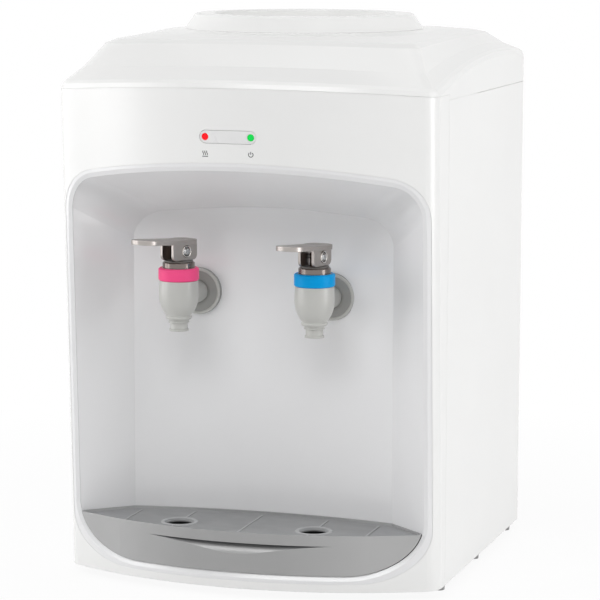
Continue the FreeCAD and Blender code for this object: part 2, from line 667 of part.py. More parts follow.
def base():
    """A floor that follows the housing, a low wall behind the alcove, foot holes and cooling slots."""
    plan = [[(x, y, s.foot_height) for x, y in run] for run in housing_runs(s.wall + s.fit, s.foot_height)]
    floor = Part.Face(closed_wire(plan)).extrude(V(0, -s.front_lean * s.base_thickness, s.base_thickness))
    for side in (-1, 1):
        notch = Part.makeBox(2 * s.wall, 2 * s.tongue_length, s.seam_height,
                             V(side * (s.width / 2 - s.wall - s.fit) - s.wall, tongue_y - 1, 0))
        floor = floor.cut(notch)
    wall = leaning_column(s.base_inset, floor_top, floor_top + s.base_wall_height)
    wall = wall.cut(leaning_column(s.base_inset + s.wall, s.foot_height, s.ridge_height))
    behind = setback(s.alcove_corner_setback + s.alcove_bow) + 3 * s.liner_wall
    room = Part.makeBox(s.width, s.depth, s.ridge_height, V(-s.width / 2, behind, 0))
    solid = floor.fuse(wall.common(room))
    for x, y, z in foot_spots:
        top = floor_top + s.foot_peg_rise + fit
        solid = solid.cut(Part.makeCylinder(s.foot_peg_radius + s.clearance, top, V(x, y, z)))
    for i in range(int(s.louvre_count)):
        y = setback(s.tank_setback) + (i - (s.louvre_count - 1) / 2) * s.louvre_pitch
        for x in (-s.louvre_length - s.tank_radius / 2, s.tank_radius / 2):
            slot = Part.makeBox(s.louvre_length, s.louvre_height, s.foot_height, V(x, y, s.foot_height - 1))
            solid = solid.cut(slot)
    return solid


def rubber_foot():
    """A tapered foot with a peg through the base."""
    return turned_solid([(0, 0), (s.foot_radius - s.foot_taper, 0), (s.foot_radius, s.foot_height),
                         (s.foot_peg_radius, s.foot_height), (s.foot_peg_radius, floor_top + s.foot_peg_rise),
                         (0, floor_top + s.foot_peg_rise)])


feature("base", base())
feature("rubber_feet", copies_at(rubber_foot(), foot_spots))

REAR = "(" + FRONT + " + sizes.depth)"
SPLIT = "(" + FRONT + " + sizes.panel_split_setback + sizes.seam_gap)"
GLAND_X = "(sizes.width / 2 - sizes.gland_margin)"
SWITCH_X = "(sizes.width / 2 - sizes.switch_margin)"
SCREW_HOLE = "sizes.screw_radius + sizes.clearance"
lip_screws = ["sizes.lip_screw_low + %d * sizes.lip_screw_pitch" % i for i in range(3)]


def side_panel(label, side):
    """A flat cheek with a rounded rear corner, a lip for the back panel and a tongue at the front."""
    body = new_body(label)
    x = "%d * " % side + "(sizes.width / 2%s)"
    outline = [(x % "", SPLIT), (x % "", REAR + " - sizes.rear_corner_radius"),
               (x % " - sizes.rear_corner_radius", REAR, "sizes.rear_corner_radius", side),
               (x % " - sizes.rear_corner_radius - sizes.lip_width", REAR),
               (x % " - sizes.rear_corner_radius - sizes.lip_width", REAR + " - sizes.wall"),
               (x % " - sizes.rear_corner_radius", REAR + " - sizes.wall"),
               (x % " - sizes.wall", REAR + " - sizes.rear_corner_radius",
                "sizes.rear_corner_radius - sizes.wall", -side),
               (x % " - sizes.wall", SPLIT + " + sizes.tongue_root"),
               (x % " - 2 * sizes.wall", SPLIT + " + sizes.tongue_root"),
               (x % " - 2 * sizes.wall", SPLIT + " - sizes.tongue_length"),
               (x % " - sizes.wall - sizes.fit", SPLIT + " - sizes.tongue_length"),
               (x % " - sizes.wall - sizes.fit", SPLIT)]
    pad(body, "XY_Plane", outline, "sizes.seam_height - sizes.seam_gap - sizes.foot_height", name="cheek")
    place(body, z="sizes.foot_height")
    lip = x % " - sizes.rear_corner_radius - sizes.lip_width / 2"
    circles = [(lip, height + " - sizes.foot_height", SCREW_HOLE) for height in lip_screws]
    pocket(body, "XZ_Plane", circles, name="screw_holes")
    return body


side_panel("side_panel_left", -1)
side_panel("side_panel_right", 1)


def rectangle(x, y, half_x, half_y):
    low_x, high_x = "%s - %s" % (x, half_x), "%s + %s" % (x, half_x)
    low_y, high_y = "%s - %s" % (y, half_y), "%s + %s" % (y, half_y)
    return [(low_x, low_y), (high_x, low_y), (high_x, high_y), (low_x, high_y)]


def back_panel():
    """A steel sheet behind the lips with two fields of cooling slots and holes for the fittings."""
    body = new_body("back_panel")
    half = "(sizes.width / 2 - sizes.rear_corner_radius - sizes.fit)"
    low, high = "sizes.foot_height + sizes.base_thickness + sizes.fit", "sizes.seam_height - sizes.fit"
    outline = [("-" + half, low), (half, low), (half, high), ("-" + half, high)]
    pad(body, "XZ_Plane", outline, "sizes.back_thickness", name="sheet")
    lip = "(sizes.width / 2 - sizes.rear_corner_radius - sizes.lip_width / 2)"
    circles = [(sign + lip, height, SCREW_HOLE) for sign in ("-", "") for height in lip_screws]
    circles.append((GLAND_X, "sizes.gland_height", "sizes.gland_radius + sizes.fit"))
    circles.append(("sizes.tank_x", "sizes.drain_height", "sizes.drain_radius + sizes.fit"))
    switch = rectangle(SWITCH_X, "sizes.switch_height", "(sizes.switch_width / 2 + sizes.fit)",
                       "(sizes.switch_length / 2 + sizes.fit)")
    pocket(body, "XZ_Plane", circles, [switch], name="openings")
    for name in ("low", "high"):
        slot_outline = rectangle("0", "(sizes.%s_louvre_height)" % name, "(sizes.louvre_length / 2)",
                                 "(sizes.louvre_height / 2)")
        slot = pocket(body, "XZ_Plane", outlines=[slot_outline], name=name + "_slot")
        rows = body.newObject("PartDesign::LinearPattern", name + "_slots")
        rows.Originals = [slot]
        rows.Direction = (slot.Profile[0], ["V_Axis"])
        rows.setExpression("Length", "sizes.louvre_pitch * (sizes.louvre_count - 1)")
        rows.setExpression("Occurrences", "sizes.louvre_count")
        body.Tip = rows
        doc.recompute()
    place(body, y=REAR + " - sizes.wall - sizes.fit")
    return body


back_panel()


def pan_screw(grip):
    """A pan-head screw along +Y: the head's underside at the origin, the shank towards -Y."""
    head, shank, rise = s.screw_head_radius, s.screw_radius, s.screw_head_height
    screw = turned_solid([(0, -grip), (shank, -grip), (shank, 0), (head, 0), (head, rise * 0.4),
                          (head * 0.6, rise), (0, rise)])
    screw.rotate(V(0, 0, 0), V(1, 0, 0), -90)
    return screw


lip_x = s.width / 2 - s.rear_corner_radius - s.lip_width / 2
feature("back_screws", copies_at(pan_screw(s.wall + s.fit + s.back_thickness + s.wall),
                                 [(side * lip_x, rear_y, number(z)) for side in (-1, 1) for z in lip_screws]))


# ---------------------------------------------------------------- drip tray and grate

def faceted_column(inset, bottom, top):
    """Like the housing's front, but with a flat facet outside each end of a middle arc."""
    edge = window_half - s.rim_band
    far = rear_y

    def at(x, y):
        return V(x, y, bottom)

    ends = {x: front_point(x, 0, bottom) + inset for x in (0, facet_half, edge)}
    turn = (ends[edge] - ends[facet_half]) / (edge - facet_half)
    wide = s.width / 2
    wide_y = ends[edge] + turn * (wide - edge)
    edges = [Part.makeLine(at(-wide, wide_y), at(-facet_half, ends[facet_half])),
             Part.Arc(at(-facet_half, ends[facet_half]), at(0, ends[0]),
                      at(facet_half, ends[facet_half])).toShape(),
             Part.makeLine(at(facet_half, ends[facet_half]), at(wide, wide_y)),
             Part.makeLine(at(wide, wide_y), at(wide, far)), Part.makeLine(at(wide, far), at(-wide, far)),
             Part.makeLine(at(-wide, far), at(-wide, wide_y))]
    rise = top - bottom
    return Part.Face(Part.Wire(edges)).extrude(V(0, -s.front_lean * rise, rise))


def slab(bottom, top):
    return Part.makeBox(2 * s.width, 2 * s.depth, top - bottom, V(-s.width, -s.depth, bottom))


tray_bottom = s.window_bottom + s.rim_band + s.tray_clearance
grate_bottom = s.grate_top - s.grate_thickness


def tray_zone(side_gap, front_gap, bottom, top):
    """The part of the alcove between two heights, kept clear of its walls and of the front's face."""
    return alcove_space(-side_gap).common(faceted_column(front_gap, s.foot_height, s.ridge_height)).common(
        slab(bottom, top))


def grate_zone(gap, front_gap, bottom, top):
    """The room for the grate, or with a gap the grate itself: clear of the back and between two ends."""
    half = grate_half + fit - gap
    ends = Part.makeBox(2 * half, s.depth, s.ridge_height, V(-half, front_y, 0))
    rear = before_back(-s.tray_clearance - s.tray_lip - s.tray_rim - gap)
    zone = tray_zone(s.tray_clearance + s.tray_lip + gap, front_gap, bottom, top)
    return zone.common(ends).common(rear)


def drip_tray():
    """A basin that fills the alcove's foot: a thin lip, a level rim round the grate and a finger grip."""
    solid = tray_zone(s.tray_clearance, s.tray_recess, tray_bottom, s.tray_top)
    level = tray_zone(s.tray_clearance + s.tray_lip, s.tray_front_lip, s.grate_top, s.tray_top + 1)
    recess = grate_zone(0, s.tray_front_lip, grate_bottom, s.tray_top)
    basin = grate_zone(s.tray_ledge, s.tray_front_wall, tray_bottom + s.tray_floor, s.tray_top)
    return solid.cut([level, recess, basin, finger_grip()])


def finger_grip():
    """A scoop across the bowed front: a level lip on top and a hollow that rises into it from the face."""
    low = s.grip_height - s.grip_drop
    face = front_point(0, s.tray_recess, low) - s.clearance
    radius = (s.grip_drop ** 2 + s.grip_depth ** 2) / (2 * s.grip_depth)
    half = math.asin(s.grip_drop / radius) / 2

    def at(y, z):
        return V(-s.width / 2, y, z)

    start, end = at(face, low), at(face + s.grip_depth, s.grip_height)
    middle = at(face + radius * (1 - math.cos(half)), low + radius * math.sin(half))
    ahead = at(face - s.grip_depth, s.grip_height)
    edges = [Part.Arc(start, middle, end).toShape(), Part.makeLine(end, ahead), Part.makeLine(ahead, start)]
    return Part.Face(Part.Wire(edges)).extrude(V(s.width, 0, 0))


def drip_grate():
    """The plate in the tray: two drain holes with raised rings and five raised lines."""
    plate = grate_zone(fit, s.tray_front_lip + fit, grate_bottom, s.grate_top)
    taps = [V(x, setback(s.tap_setback), s.grate_top) for x in (-s.tap_spacing / 2, s.tap_spacing / 2)]
    lines = []
    outer_line = grate_half - s.grate_line_inset - s.grate_line_width / 2
    for x in (-outer_line, -s.tap_spacing / 2, 0, s.tap_spacing / 2, outer_line):
        lines.append(Part.makeBox(s.grate_line_width, s.depth, s.grate_line_height,
                                  V(x - s.grate_line_width / 2, front_y, s.grate_top)))
    bevel = fit + s.grate_line_height
    zone = grate_zone(bevel, s.tray_front_lip + bevel, grate_bottom, s.tray_top)
    plate = plate.fuse([line.common(zone) for line in lines])
    for spot in taps:
        foot = Part.makeCone(s.drain_ring_radius, s.drain_ring_radius - s.drain_ring_height,
                             s.drain_ring_height, spot)
        plate = plate.fuse(foot)
    for spot in taps:
        low = V(spot.x, spot.y, grate_bottom - 1)
        plate = plate.cut(Part.makeCylinder(s.drain_hole_radius, 10, low))
        top = V(spot.x, spot.y, s.grate_top + s.drain_ring_height - 2)
        plate = plate.cut(Part.makeCone(s.drain_hole_radius, s.drain_hole_radius + 2, 2, top))
    return plate


feature("drip_tray", drip_tray())
feature("drip_grate", drip_grate())

# ---------------------------------------------------------------- bottle seat and probe

COLLAR_Y = "(" + FRONT + " + sizes.collar_setback)"
BOWL_FLOOR = "sizes.bowl_bottom + sizes.bowl_wall"
collar_y = setback(s.collar_setback)


def bottle_seat():
    """A shell turned in one outline: sloped collar, rounded lip, funnel, bowl and the probe's sleeve."""
    lip = "sizes.collar_lip"
    bore = "sizes.probe_radius + sizes.fit"
    outside = "sizes.bowl_radius + sizes.bowl_wall"
    return turned("bottle_seat", [
        ("sizes.collar_foot_radius", "sizes.seat_plane"),
        ("sizes.collar_top_radius + " + lip + " / 2", "sizes.collar_top - " + lip),
        ("sizes.collar_top_radius - " + lip, "sizes.collar_top", lip + " * 1.6", 1),
        ("sizes.collar_mouth_radius + " + lip, "sizes.collar_top"),
        ("sizes.collar_mouth_radius", "sizes.collar_top - " + lip, lip, 1),
        ("sizes.bowl_radius", "sizes.bowl_shoulder"),
        ("sizes.bowl_radius", BOWL_FLOOR + " + sizes.bowl_corner"),
        ("sizes.bowl_radius - sizes.bowl_corner", BOWL_FLOOR, "sizes.bowl_corner", -1),
        (bore, BOWL_FLOOR),
        (bore, "sizes.bowl_bottom - sizes.sleeve_drop"),
        ("sizes.sleeve_radius", "sizes.bowl_bottom - sizes.sleeve_drop"),
        ("sizes.sleeve_radius", "sizes.bowl_bottom"),
        ("sizes.bowl_radius - sizes.bowl_corner", "sizes.bowl_bottom"),
        (outside, BOWL_FLOOR + " + sizes.bowl_corner", "sizes.bowl_corner + sizes.bowl_wall", 1),
        (outside, "sizes.collar_top - 2 * sizes.bowl_wall"),
        ("sizes.collar_top_radius - sizes.bowl_wall", "sizes.collar_top - 2 * sizes.bowl_wall"),
        ("sizes.collar_foot_radius - sizes.bowl_wall * 1.4", "sizes.seat_plane")], y=COLLAR_Y)


def probe():
    """The feed probe that opens the bottle's cap: a tube with a tapered nose, a flange and side windows."""
    flange = "(" + BOWL_FLOOR + " + sizes.seal_thickness)"
    inner = "sizes.probe_radius - sizes.probe_wall"
    body = turned("probe", [
        ("sizes.probe_radius", "sizes.probe_bottom"),
        ("sizes.probe_radius", flange),
        ("sizes.seal_radius", flange),
        ("sizes.seal_radius", flange + " + sizes.probe_flange"),
        ("sizes.probe_radius", flange + " + sizes.probe_flange"),
        ("sizes.probe_radius", "sizes.probe_top - sizes.probe_nose"),
        ("sizes.probe_nose / 2", "sizes.probe_top"),
        ("0", "sizes.probe_top"),
        ("0", "sizes.probe_top - sizes.probe_wall"),
        (inner, "sizes.probe_top - sizes.probe_nose - sizes.probe_wall"),
        (inner, "sizes.probe_bottom")], y=COLLAR_Y)
    middle = "sizes.probe_top - sizes.probe_nose - sizes.probe_wall - sizes.probe_window_height / 2"
    window = rectangle("0", "(" + middle + ")", "(sizes.probe_window_width / 2)",
                       "(sizes.probe_window_height / 2)")
    for role in ("XZ_Plane", "YZ_Plane"):
        pocket(body, role, outlines=[window], name="windows_" + role[:2].lower())
    return body


bottle_seat()
probe()
turned("probe_seal", rectangle("((sizes.seal_radius + sizes.probe_radius + sizes.fit) / 2)",
                               "(" + BOWL_FLOOR + " + sizes.seal_thickness / 2)",
                               "((sizes.seal_radius - sizes.probe_radius - sizes.fit) / 2)",
                               "(sizes.seal_thickness / 2)"), y=COLLAR_Y)


# ---------------------------------------------------------------- reservoir, hot tank and their carriers

tap_y = setback(s.tap_setback)
tank_y = setback(s.tank_setback)
outlets = {
    "ambient": V(s.tap_spacing / 2, setback(s.ambient_outlet_setback), s.reservoir_bottom),
    "feed": V(s.feed_x, tank_y, s.reservoir_bottom),
    "vent": V(0, tank_y, s.reservoir_bottom),
}
hot_outlet = V(-s.tap_spacing / 2, setback(s.hot_outlet_setback), s.tank_top)
down, up = V(0, 0, -1), V(0, 0, 1)


def with_stub(shape, spot, direction, length):
    """Adds a short outlet tube for a hose and opens it into the vessel."""
    tube = Part.makeCylinder(s.stub_radius, length, spot - direction * s.tank_wall / 2, direction)
    inside = spot - direction * 1.5 * s.reservoir_wall
    bore = Part.makeCylinder(s.stub_bore, length + 2 * s.reservoir_wall, inside, direction)
    return shape.fuse(tube).cut(bore)


def reservoir():
    """The open-topped water reservoir with three outlets in its floor."""
    radius, wall = s.reservoir_radius, s.reservoir_wall
    shell = turned_solid([(0, s.reservoir_bottom), (radius, s.reservoir_bottom), (radius, s.reservoir_top),
                          (radius - wall, s.reservoir_top), (radius - wall, s.reservoir_bottom + wall),
                          (0, s.reservoir_bottom + wall)])
    shell.translate(V(0, collar_y, 0))
    for spot in outlets.values():
        shell = with_stub(shell, spot, down, s.stub_length)
    return shell


def baffle():
    """A plate that keeps warm water low, on three posts, with a ring of holes round its middle."""
    top = s.baffle_height + s.baffle_thickness
    plate = Part.makeCylinder(s.reservoir_radius - s.reservoir_wall - 1, s.baffle_thickness,
                              V(0, collar_y, s.baffle_height))
    foot = s.reservoir_bottom + s.reservoir_wall
    for i in range(3):
        angle = math.radians(30 + 120 * i)
        reach = s.reservoir_radius * 0.6
        spot = V(reach * math.cos(angle), collar_y + reach * math.sin(angle), foot)
        plate = plate.fuse(Part.makeCylinder(s.stub_radius, s.baffle_height - foot, spot))
        hole = V(-reach / 2 * math.cos(angle), collar_y - reach / 2 * math.sin(angle), foot)
        plate = plate.cut(Part.makeCylinder(s.baffle_hole_radius, top, hole))
    return plate


feature("reservoir", reservoir())
feature("baffle", baffle())
turned("reservoir_gasket", rectangle("(sizes.reservoir_radius - sizes.reservoir_wall / 2)",
                                     "(sizes.reservoir_top + sizes.gasket_thickness / 2)",
                                     "(sizes.reservoir_wall / 2)", "(sizes.gasket_thickness / 2)"),
       y=COLLAR_Y)
LID = "(sizes.reservoir_top + sizes.gasket_thickness)"
turned("reservoir_lid", [
    ("sizes.probe_radius + 2 * sizes.fit", LID),
    ("sizes.reservoir_radius + sizes.fit", LID),
    ("sizes.reservoir_radius + sizes.fit", LID + " - sizes.lid_skirt"),
    ("sizes.reservoir_radius + sizes.fit + sizes.lid_thickness", LID + " - sizes.lid_skirt"),
    ("sizes.reservoir_radius + sizes.fit + sizes.lid_thickness", LID + " + sizes.lid_thickness"),
    ("sizes.probe_radius + 2 * sizes.fit", LID + " + sizes.lid_thickness")], y=COLLAR_Y)


def hot_tank():
    """A closed steel tank with outlets on top for hot water and steam, a side inlet and a drain below."""
    radius, wall = s.tank_radius, s.tank_wall
    tank = Part.makeCylinder(radius, s.tank_top - s.tank_bottom, V(s.tank_x, tank_y, s.tank_bottom))
    tank = tank.cut(Part.makeCylinder(radius - wall, s.tank_top - s.tank_bottom - 2 * wall,
                                      V(s.tank_x, tank_y, s.tank_bottom + wall)))
    tank = with_stub(tank, hot_outlet, up, s.stub_length)
    tank = with_stub(tank, V(0, tank_y, s.tank_top), up, s.stub_length)
    tank = with_stub(tank, V(s.tank_x + radius - wall / 2, tank_y, s.feed_height), V(1, 0, 0), s.stub_length)
    return with_stub(tank, V(s.tank_x, tank_y, s.tank_bottom), down, s.drain_stub_length)


def heater_band():
    """The clamped heating band: a ring with a slit and two ears."""
    inner = s.tank_radius + s.clearance
    outer = inner + s.band_thickness
    spot = V(s.tank_x, tank_y, s.band_bottom)
    band = Part.makeCylinder(outer, s.band_height, spot)
    ears = Part.makeBox(4 * s.band_thickness, 8 * s.band_thickness, s.band_height,
                        V(s.tank_x - 2 * s.band_thickness, tank_y + inner, s.band_bottom))
    slit = Part.makeBox(2 * s.band_thickness, s.depth, s.band_height,
                        V(s.tank_x - s.band_thickness, tank_y, s.band_bottom))
    return band.fuse(ears).cut([Part.makeCylinder(inner, s.band_height, spot), slit])


def thermostats():
    """Two round thermostats on the front of the tank, hollowed to its curve."""
    tank = Part.makeCylinder(s.tank_radius + s.clearance, s.tank_top, V(s.tank_x, tank_y, 0))
    height = s.band_bottom + s.band_height + s.thermostat_rise + s.thermostat_radius
    discs = []
    for side in (-1, 1):
        spot = V(s.tank_x + side * 1.5 * s.thermostat_radius, tank_y, height)
        disc = Part.makeCylinder(s.thermostat_radius, s.tank_radius + 5, spot, V(0, -1, 0))
        discs.append(disc.cut(tank))
    return Part.makeCompound(discs)


def strap(x, y, span, width, top):
    """A bent steel strap that stands on the base: two feet, two legs and a level bridge."""
    t = s.strap_thickness
    low = floor_top
    half = span / 2
    outline = [(-half - s.strap_foot, low), (-half, low), (-half, top - t), (half, top - t), (half, low),
               (half + s.strap_foot, low), (half + s.strap_foot, low + t), (half + t, low + t),
               (half + t, top), (-half - t, top), (-half - t, low + t), (-half - s.strap_foot, low + t)]
    points = [V(x + u, y - width / 2, z) for u, z in outline]
    return Part.Face(Part.makePolygon(points + points[:1])).extrude(V(0, width, 0))


feature("hot_tank", hot_tank())
feature("heater_band", heater_band())
feature("thermostats", thermostats())
hose_way = Part.makeCylinder(s.hose_radius + 2, s.tank_bottom, V(s.tank_x, tank_y, floor_top))
tank_strap = strap(s.tank_x, tank_y, s.tank_strap_span, s.tank_strap_width, s.tank_bottom)
feature("tank_strap", tank_strap.cut(hose_way))
feature("reservoir_strap", strap(0, collar_y, s.cradle_span, s.cradle_width, s.reservoir_bottom))


# ---------------------------------------------------------------- hoses

def run_of_hose(points, radius):
    """A round rod along straight runs joined by right-angled bends of the hose's bend radius."""
    rod = None
    bend = s.hose_bend
    start = points[0]
    for i in range(1, len(points)):
        along = (points[i] - points[i - 1]).normalize()
        last = i == len(points) - 1
        end = points[i] if last else points[i] - along * bend
        piece = Part.makeCylinder(radius, (end - start).Length, start, along)
        rod = piece if rod is None else rod.fuse(piece)
        if not last:
            onward = (points[i + 1] - points[i]).normalize()
            centre = end + onward * bend
            section = Part.Face(Part.Wire(Part.makeCircle(radius, end, along)))
            axis = along.cross(onward)
            rod = rod.fuse(section.revolve(centre, axis, 90))
            start = points[i] + onward * bend
    return rod


def hose(label, points):
    """A soft tube pushed over the stubs at both of its ends."""
    feature(label, run_of_hose(points, s.hose_radius).cut(run_of_hose(points, s.stub_radius + s.clearance)))


shank_tip = tap_y + s.shank_end + s.fit
spout_start = rear_y - s.wall - s.back_thickness - s.drain_spout_length
hose("ambient_hose", [outlets["ambient"] - up * s.fit, V(s.tap_spacing / 2, outlets["ambient"].y, inlet_z),
                      V(s.tap_spacing / 2, shank_tip, inlet_z)])
hose("hot_hose", [hot_outlet + up * s.fit, V(-s.tap_spacing / 2, hot_outlet.y, inlet_z),
                  V(-s.tap_spacing / 2, shank_tip, inlet_z)])
hose("feed_hose", [outlets["feed"] - up * s.fit, V(s.feed_x, tank_y, s.feed_height),
                   V(s.tank_x + s.tank_radius + s.fit, tank_y, s.feed_height)])
hose("vent_hose", [outlets["vent"] - up * s.fit, V(0, tank_y, s.tank_top + s.fit)])
hose("drain_hose", [V(s.tank_x, tank_y, s.tank_bottom - s.fit), V(s.tank_x, tank_y, s.drain_height),
                    V(s.tank_x, spout_start - s.fit, s.drain_height)])


# ---------------------------------------------------------------- taps

tap_spots = {"hot": V(-s.tap_spacing / 2, tap_y, s.nozzle_height),
             "ambient": V(s.tap_spacing / 2, tap_y, s.nozzle_height)}
yaws = {"hot": s.hot_lever_yaw, "ambient": s.ambient_lever_yaw}
back = V(0, 1, 0)


def tap_body():
    """The turned egg-shaped body with its nozzle, neck, valve seat and the pipe to the wall."""
    def bulge(end_radius, end_height):
        across, rise = s.egg_radius - end_radius, s.egg_middle - end_height
        radius = (across ** 2 + rise ** 2) / (2 * across)
        height = (end_height + s.egg_middle) / 2
        return V(s.egg_radius - radius + math.sqrt(radius ** 2 - (s.egg_middle - height) ** 2), 0, height)

    lower, upper = bulge(s.collar_radius, s.egg_bottom), bulge(s.egg_top_radius, s.ring_bottom)
    neck_top = s.ring_bottom + s.ring_height
    corners = [(s.egg_top_radius, s.ring_bottom), (s.neck_radius, s.ring_bottom), (s.neck_radius, neck_top),
               (s.chamber_radius, neck_top), (s.chamber_radius, s.chamber_bottom),
               (s.nozzle_bore, s.seat_bottom), (s.nozzle_bore, 0), (s.nozzle_flare, 0),
               (s.nozzle_radius, 1.5), (s.nozzle_radius, s.step_bottom), (s.step_radius, s.step_bottom),
               (s.step_radius, s.collar_bottom), (s.collar_radius, s.collar_bottom),
               (s.collar_radius, s.egg_bottom)]
    points = [V(r, 0, z) for r, z in corners]
    widest = V(s.egg_radius, 0, s.egg_middle)
    edges = [Part.makeLine(a, b) for a, b in zip(points, points[1:])]
    edges += [Part.Arc(points[-1], lower, widest).toShape(), Part.Arc(widest, upper, points[0]).toShape()]
    egg = Part.Face(Part.Wire(edges)).revolve(V(0, 0, 0), up, 360)
    start = V(0, 0, s.inlet_height)
    pipe = Part.makeCylinder(s.pipe_radius, s.pipe_end, start, back)
    pipe = pipe.fuse(Part.makeCylinder(s.shank_radius, s.shank_end, start, back))
    pipe = pipe.fuse(Part.makeCylinder(s.stub_radius, s.barb_end, start, back))
    chamber = Part.makeCylinder(s.chamber_radius, neck_top - s.chamber_bottom, V(0, 0, s.chamber_bottom))
    chamber = chamber.fuse(Part.makeCone(s.nozzle_bore, s.chamber_radius, s.chamber_bottom - s.seat_bottom,
                                         V(0, 0, s.seat_bottom)))
    wide_bore = Part.makeCylinder(s.pipe_bore, s.shank_end - 3, start, back)
    bore = Part.makeCylinder(s.stub_bore, s.barb_end + 1, start, back)
    return egg.fuse(pipe.cut(chamber)).cut([wide_bore, bore])


def wall_flange(spot):
    """The domed flange round the pipe, its rear face cut to the bow of the wall."""
    step = s.pipe_radius + s.flange_edge
    dome = Part.makeCone(step, s.flange_radius, s.flange_edge, V(spot.x, spot.y + s.pipe_end, inlet_z), back)
    plate = Part.makeCylinder(s.flange_radius, s.liner_wall * 4,
                              V(spot.x, spot.y + s.pipe_end + s.flange_edge, inlet_z), back)
    hole = Part.makeCylinder(s.pipe_radius + s.clearance, s.shank_end, V(spot.x, spot.y, inlet_z), back)
    return dome.fuse(plate).cut(hole).common(alcove_space(-s.clearance))


def behind_wall(shape):
    """What is left of a shape behind the rear side of the liner's wall."""
    return shape.cut(alcove_space(s.liner_wall + s.clearance))


def wall_gasket(spot):
    start = V(spot.x, spot.y + s.pipe_end, inlet_z)
    disc = Part.makeCylinder(s.gasket_radius, s.nut_start - s.pipe_end, start, back)
    return behind_wall(disc.cut(Part.makeCylinder(s.shank_radius + s.clearance, s.shank_end, start, back)))


def wall_nut(spot):
    reach = s.nut_across_flats / math.sqrt(3)
    start = V(spot.x, spot.y + s.nut_start + s.clearance, inlet_z)
    angles = [math.radians(60 * i) for i in range(7)]
    corners = [start + V(reach * math.cos(angle), 0, reach * math.sin(angle)) for angle in angles]
    nut = Part.Face(Part.makePolygon(corners)).extrude(back * s.nut_thickness)
    hole = Part.makeCylinder(s.shank_radius + s.clearance, s.shank_end, V(spot.x, spot.y, inlet_z), back)
    return nut.cut(hole)


def ring():
    """The coloured ring round the neck, with bevelled outer edges."""
    low, high = s.ring_bottom + s.clearance, s.ring_bottom + s.ring_height
    inner, r, e = s.neck_radius + s.clearance, s.ring_radius, s.ring_bevel
    return turned_solid([(inner, low), (r - e, low), (r, low + e), (r, high - e), (r - e, high),
                         (inner, high)])


def bonnet():
    """The chrome bonnet: a plug into the neck with a bevelled cap and a guide for the stem."""
    neck_top = s.ring_bottom + s.ring_height
    hole, plug, e = s.stem_radius + s.running_fit, s.chamber_radius - s.clearance, s.bonnet_bevel
    seat, r, top = neck_top + s.clearance, s.bonnet_radius, s.bonnet_top
    return turned_solid([(hole, neck_top - s.bonnet_plug), (plug, neck_top - s.bonnet_plug), (plug, seat),
                         (r, seat), (r, top - e), (r - e, top), (hole, top)])


def thrust_washer():
    """The slippery washer between the bonnet and the lever's heel."""
    low, inner = s.bonnet_top + s.clearance, s.stem_radius + 2 * s.running_fit
    return turned_solid([(inner, low), (s.washer_radius, low), (s.washer_radius, low + s.washer_thickness),
                         (inner, low + s.washer_thickness)])


def stem():
    """The valve stem: a spigot for the plug, a flange for the spring and an eye for the pin."""
    low, spigot_end = s.plug_top + s.clearance, s.plug_top - s.spigot_length
    rod = turned_solid([(0, spigot_end), (s.spigot_radius, spigot_end), (s.spigot_radius, low),
                        (s.stem_flange_radius, low), (s.stem_flange_radius, low + s.stem_flange),
                        (s.stem_radius, low + s.stem_flange), (s.stem_radius, s.stem_top), (0, s.stem_top)])
    eye = Part.makeCylinder(s.pin_radius + s.running_fit, 4 * s.stem_radius,
                            V(-2 * s.stem_radius, s.pin_setback, s.pin_height), V(1, 0, 0))
    return rod.cut(eye)


def plug():
    """The rubber plug: a cone that matches the seat, with a blind hole for the spigot."""
    rise = s.fit * math.sqrt(2)
    slope = (s.chamber_radius - s.nozzle_bore) / (s.chamber_bottom - s.seat_bottom)
    shoulder = s.seat_bottom + rise + (s.plug_radius - s.nozzle_bore) / slope
    hole, hole_end = s.spigot_radius + s.clearance, s.plug_top - s.spigot_length - 2 * s.clearance
    return turned_solid([(0, s.seat_bottom + rise), (s.nozzle_bore, s.seat_bottom + rise),
                         (s.plug_radius, shoulder), (s.plug_radius, s.plug_top), (hole, s.plug_top),
                         (hole, hole_end), (0, hole_end)])


def return_spring():
    """The closing spring: square wire wound between the stem's flange and the bonnet."""
    low = s.plug_top + s.clearance + s.stem_flange + s.fit
    high = s.ring_bottom + s.ring_height - s.bonnet_plug - s.fit
    pitch = (high - low - s.spring_wire) / s.spring_turns
    path = Part.makeHelix(pitch, high - low - s.spring_wire, s.spring_radius)
    path.translate(V(0, 0, low + s.spring_wire / 2))
    w = s.spring_wire / 2
    mid, x = low + w, s.spring_radius
    section = Part.makePolygon([V(x - w, 0, mid - w), V(x + w, 0, mid - w), V(x + w, 0, mid + w),
                                V(x - w, 0, mid + w), V(x - w, 0, mid - w)])
    return Part.Wire(path.Edges).makePipeShell([section], True, True)


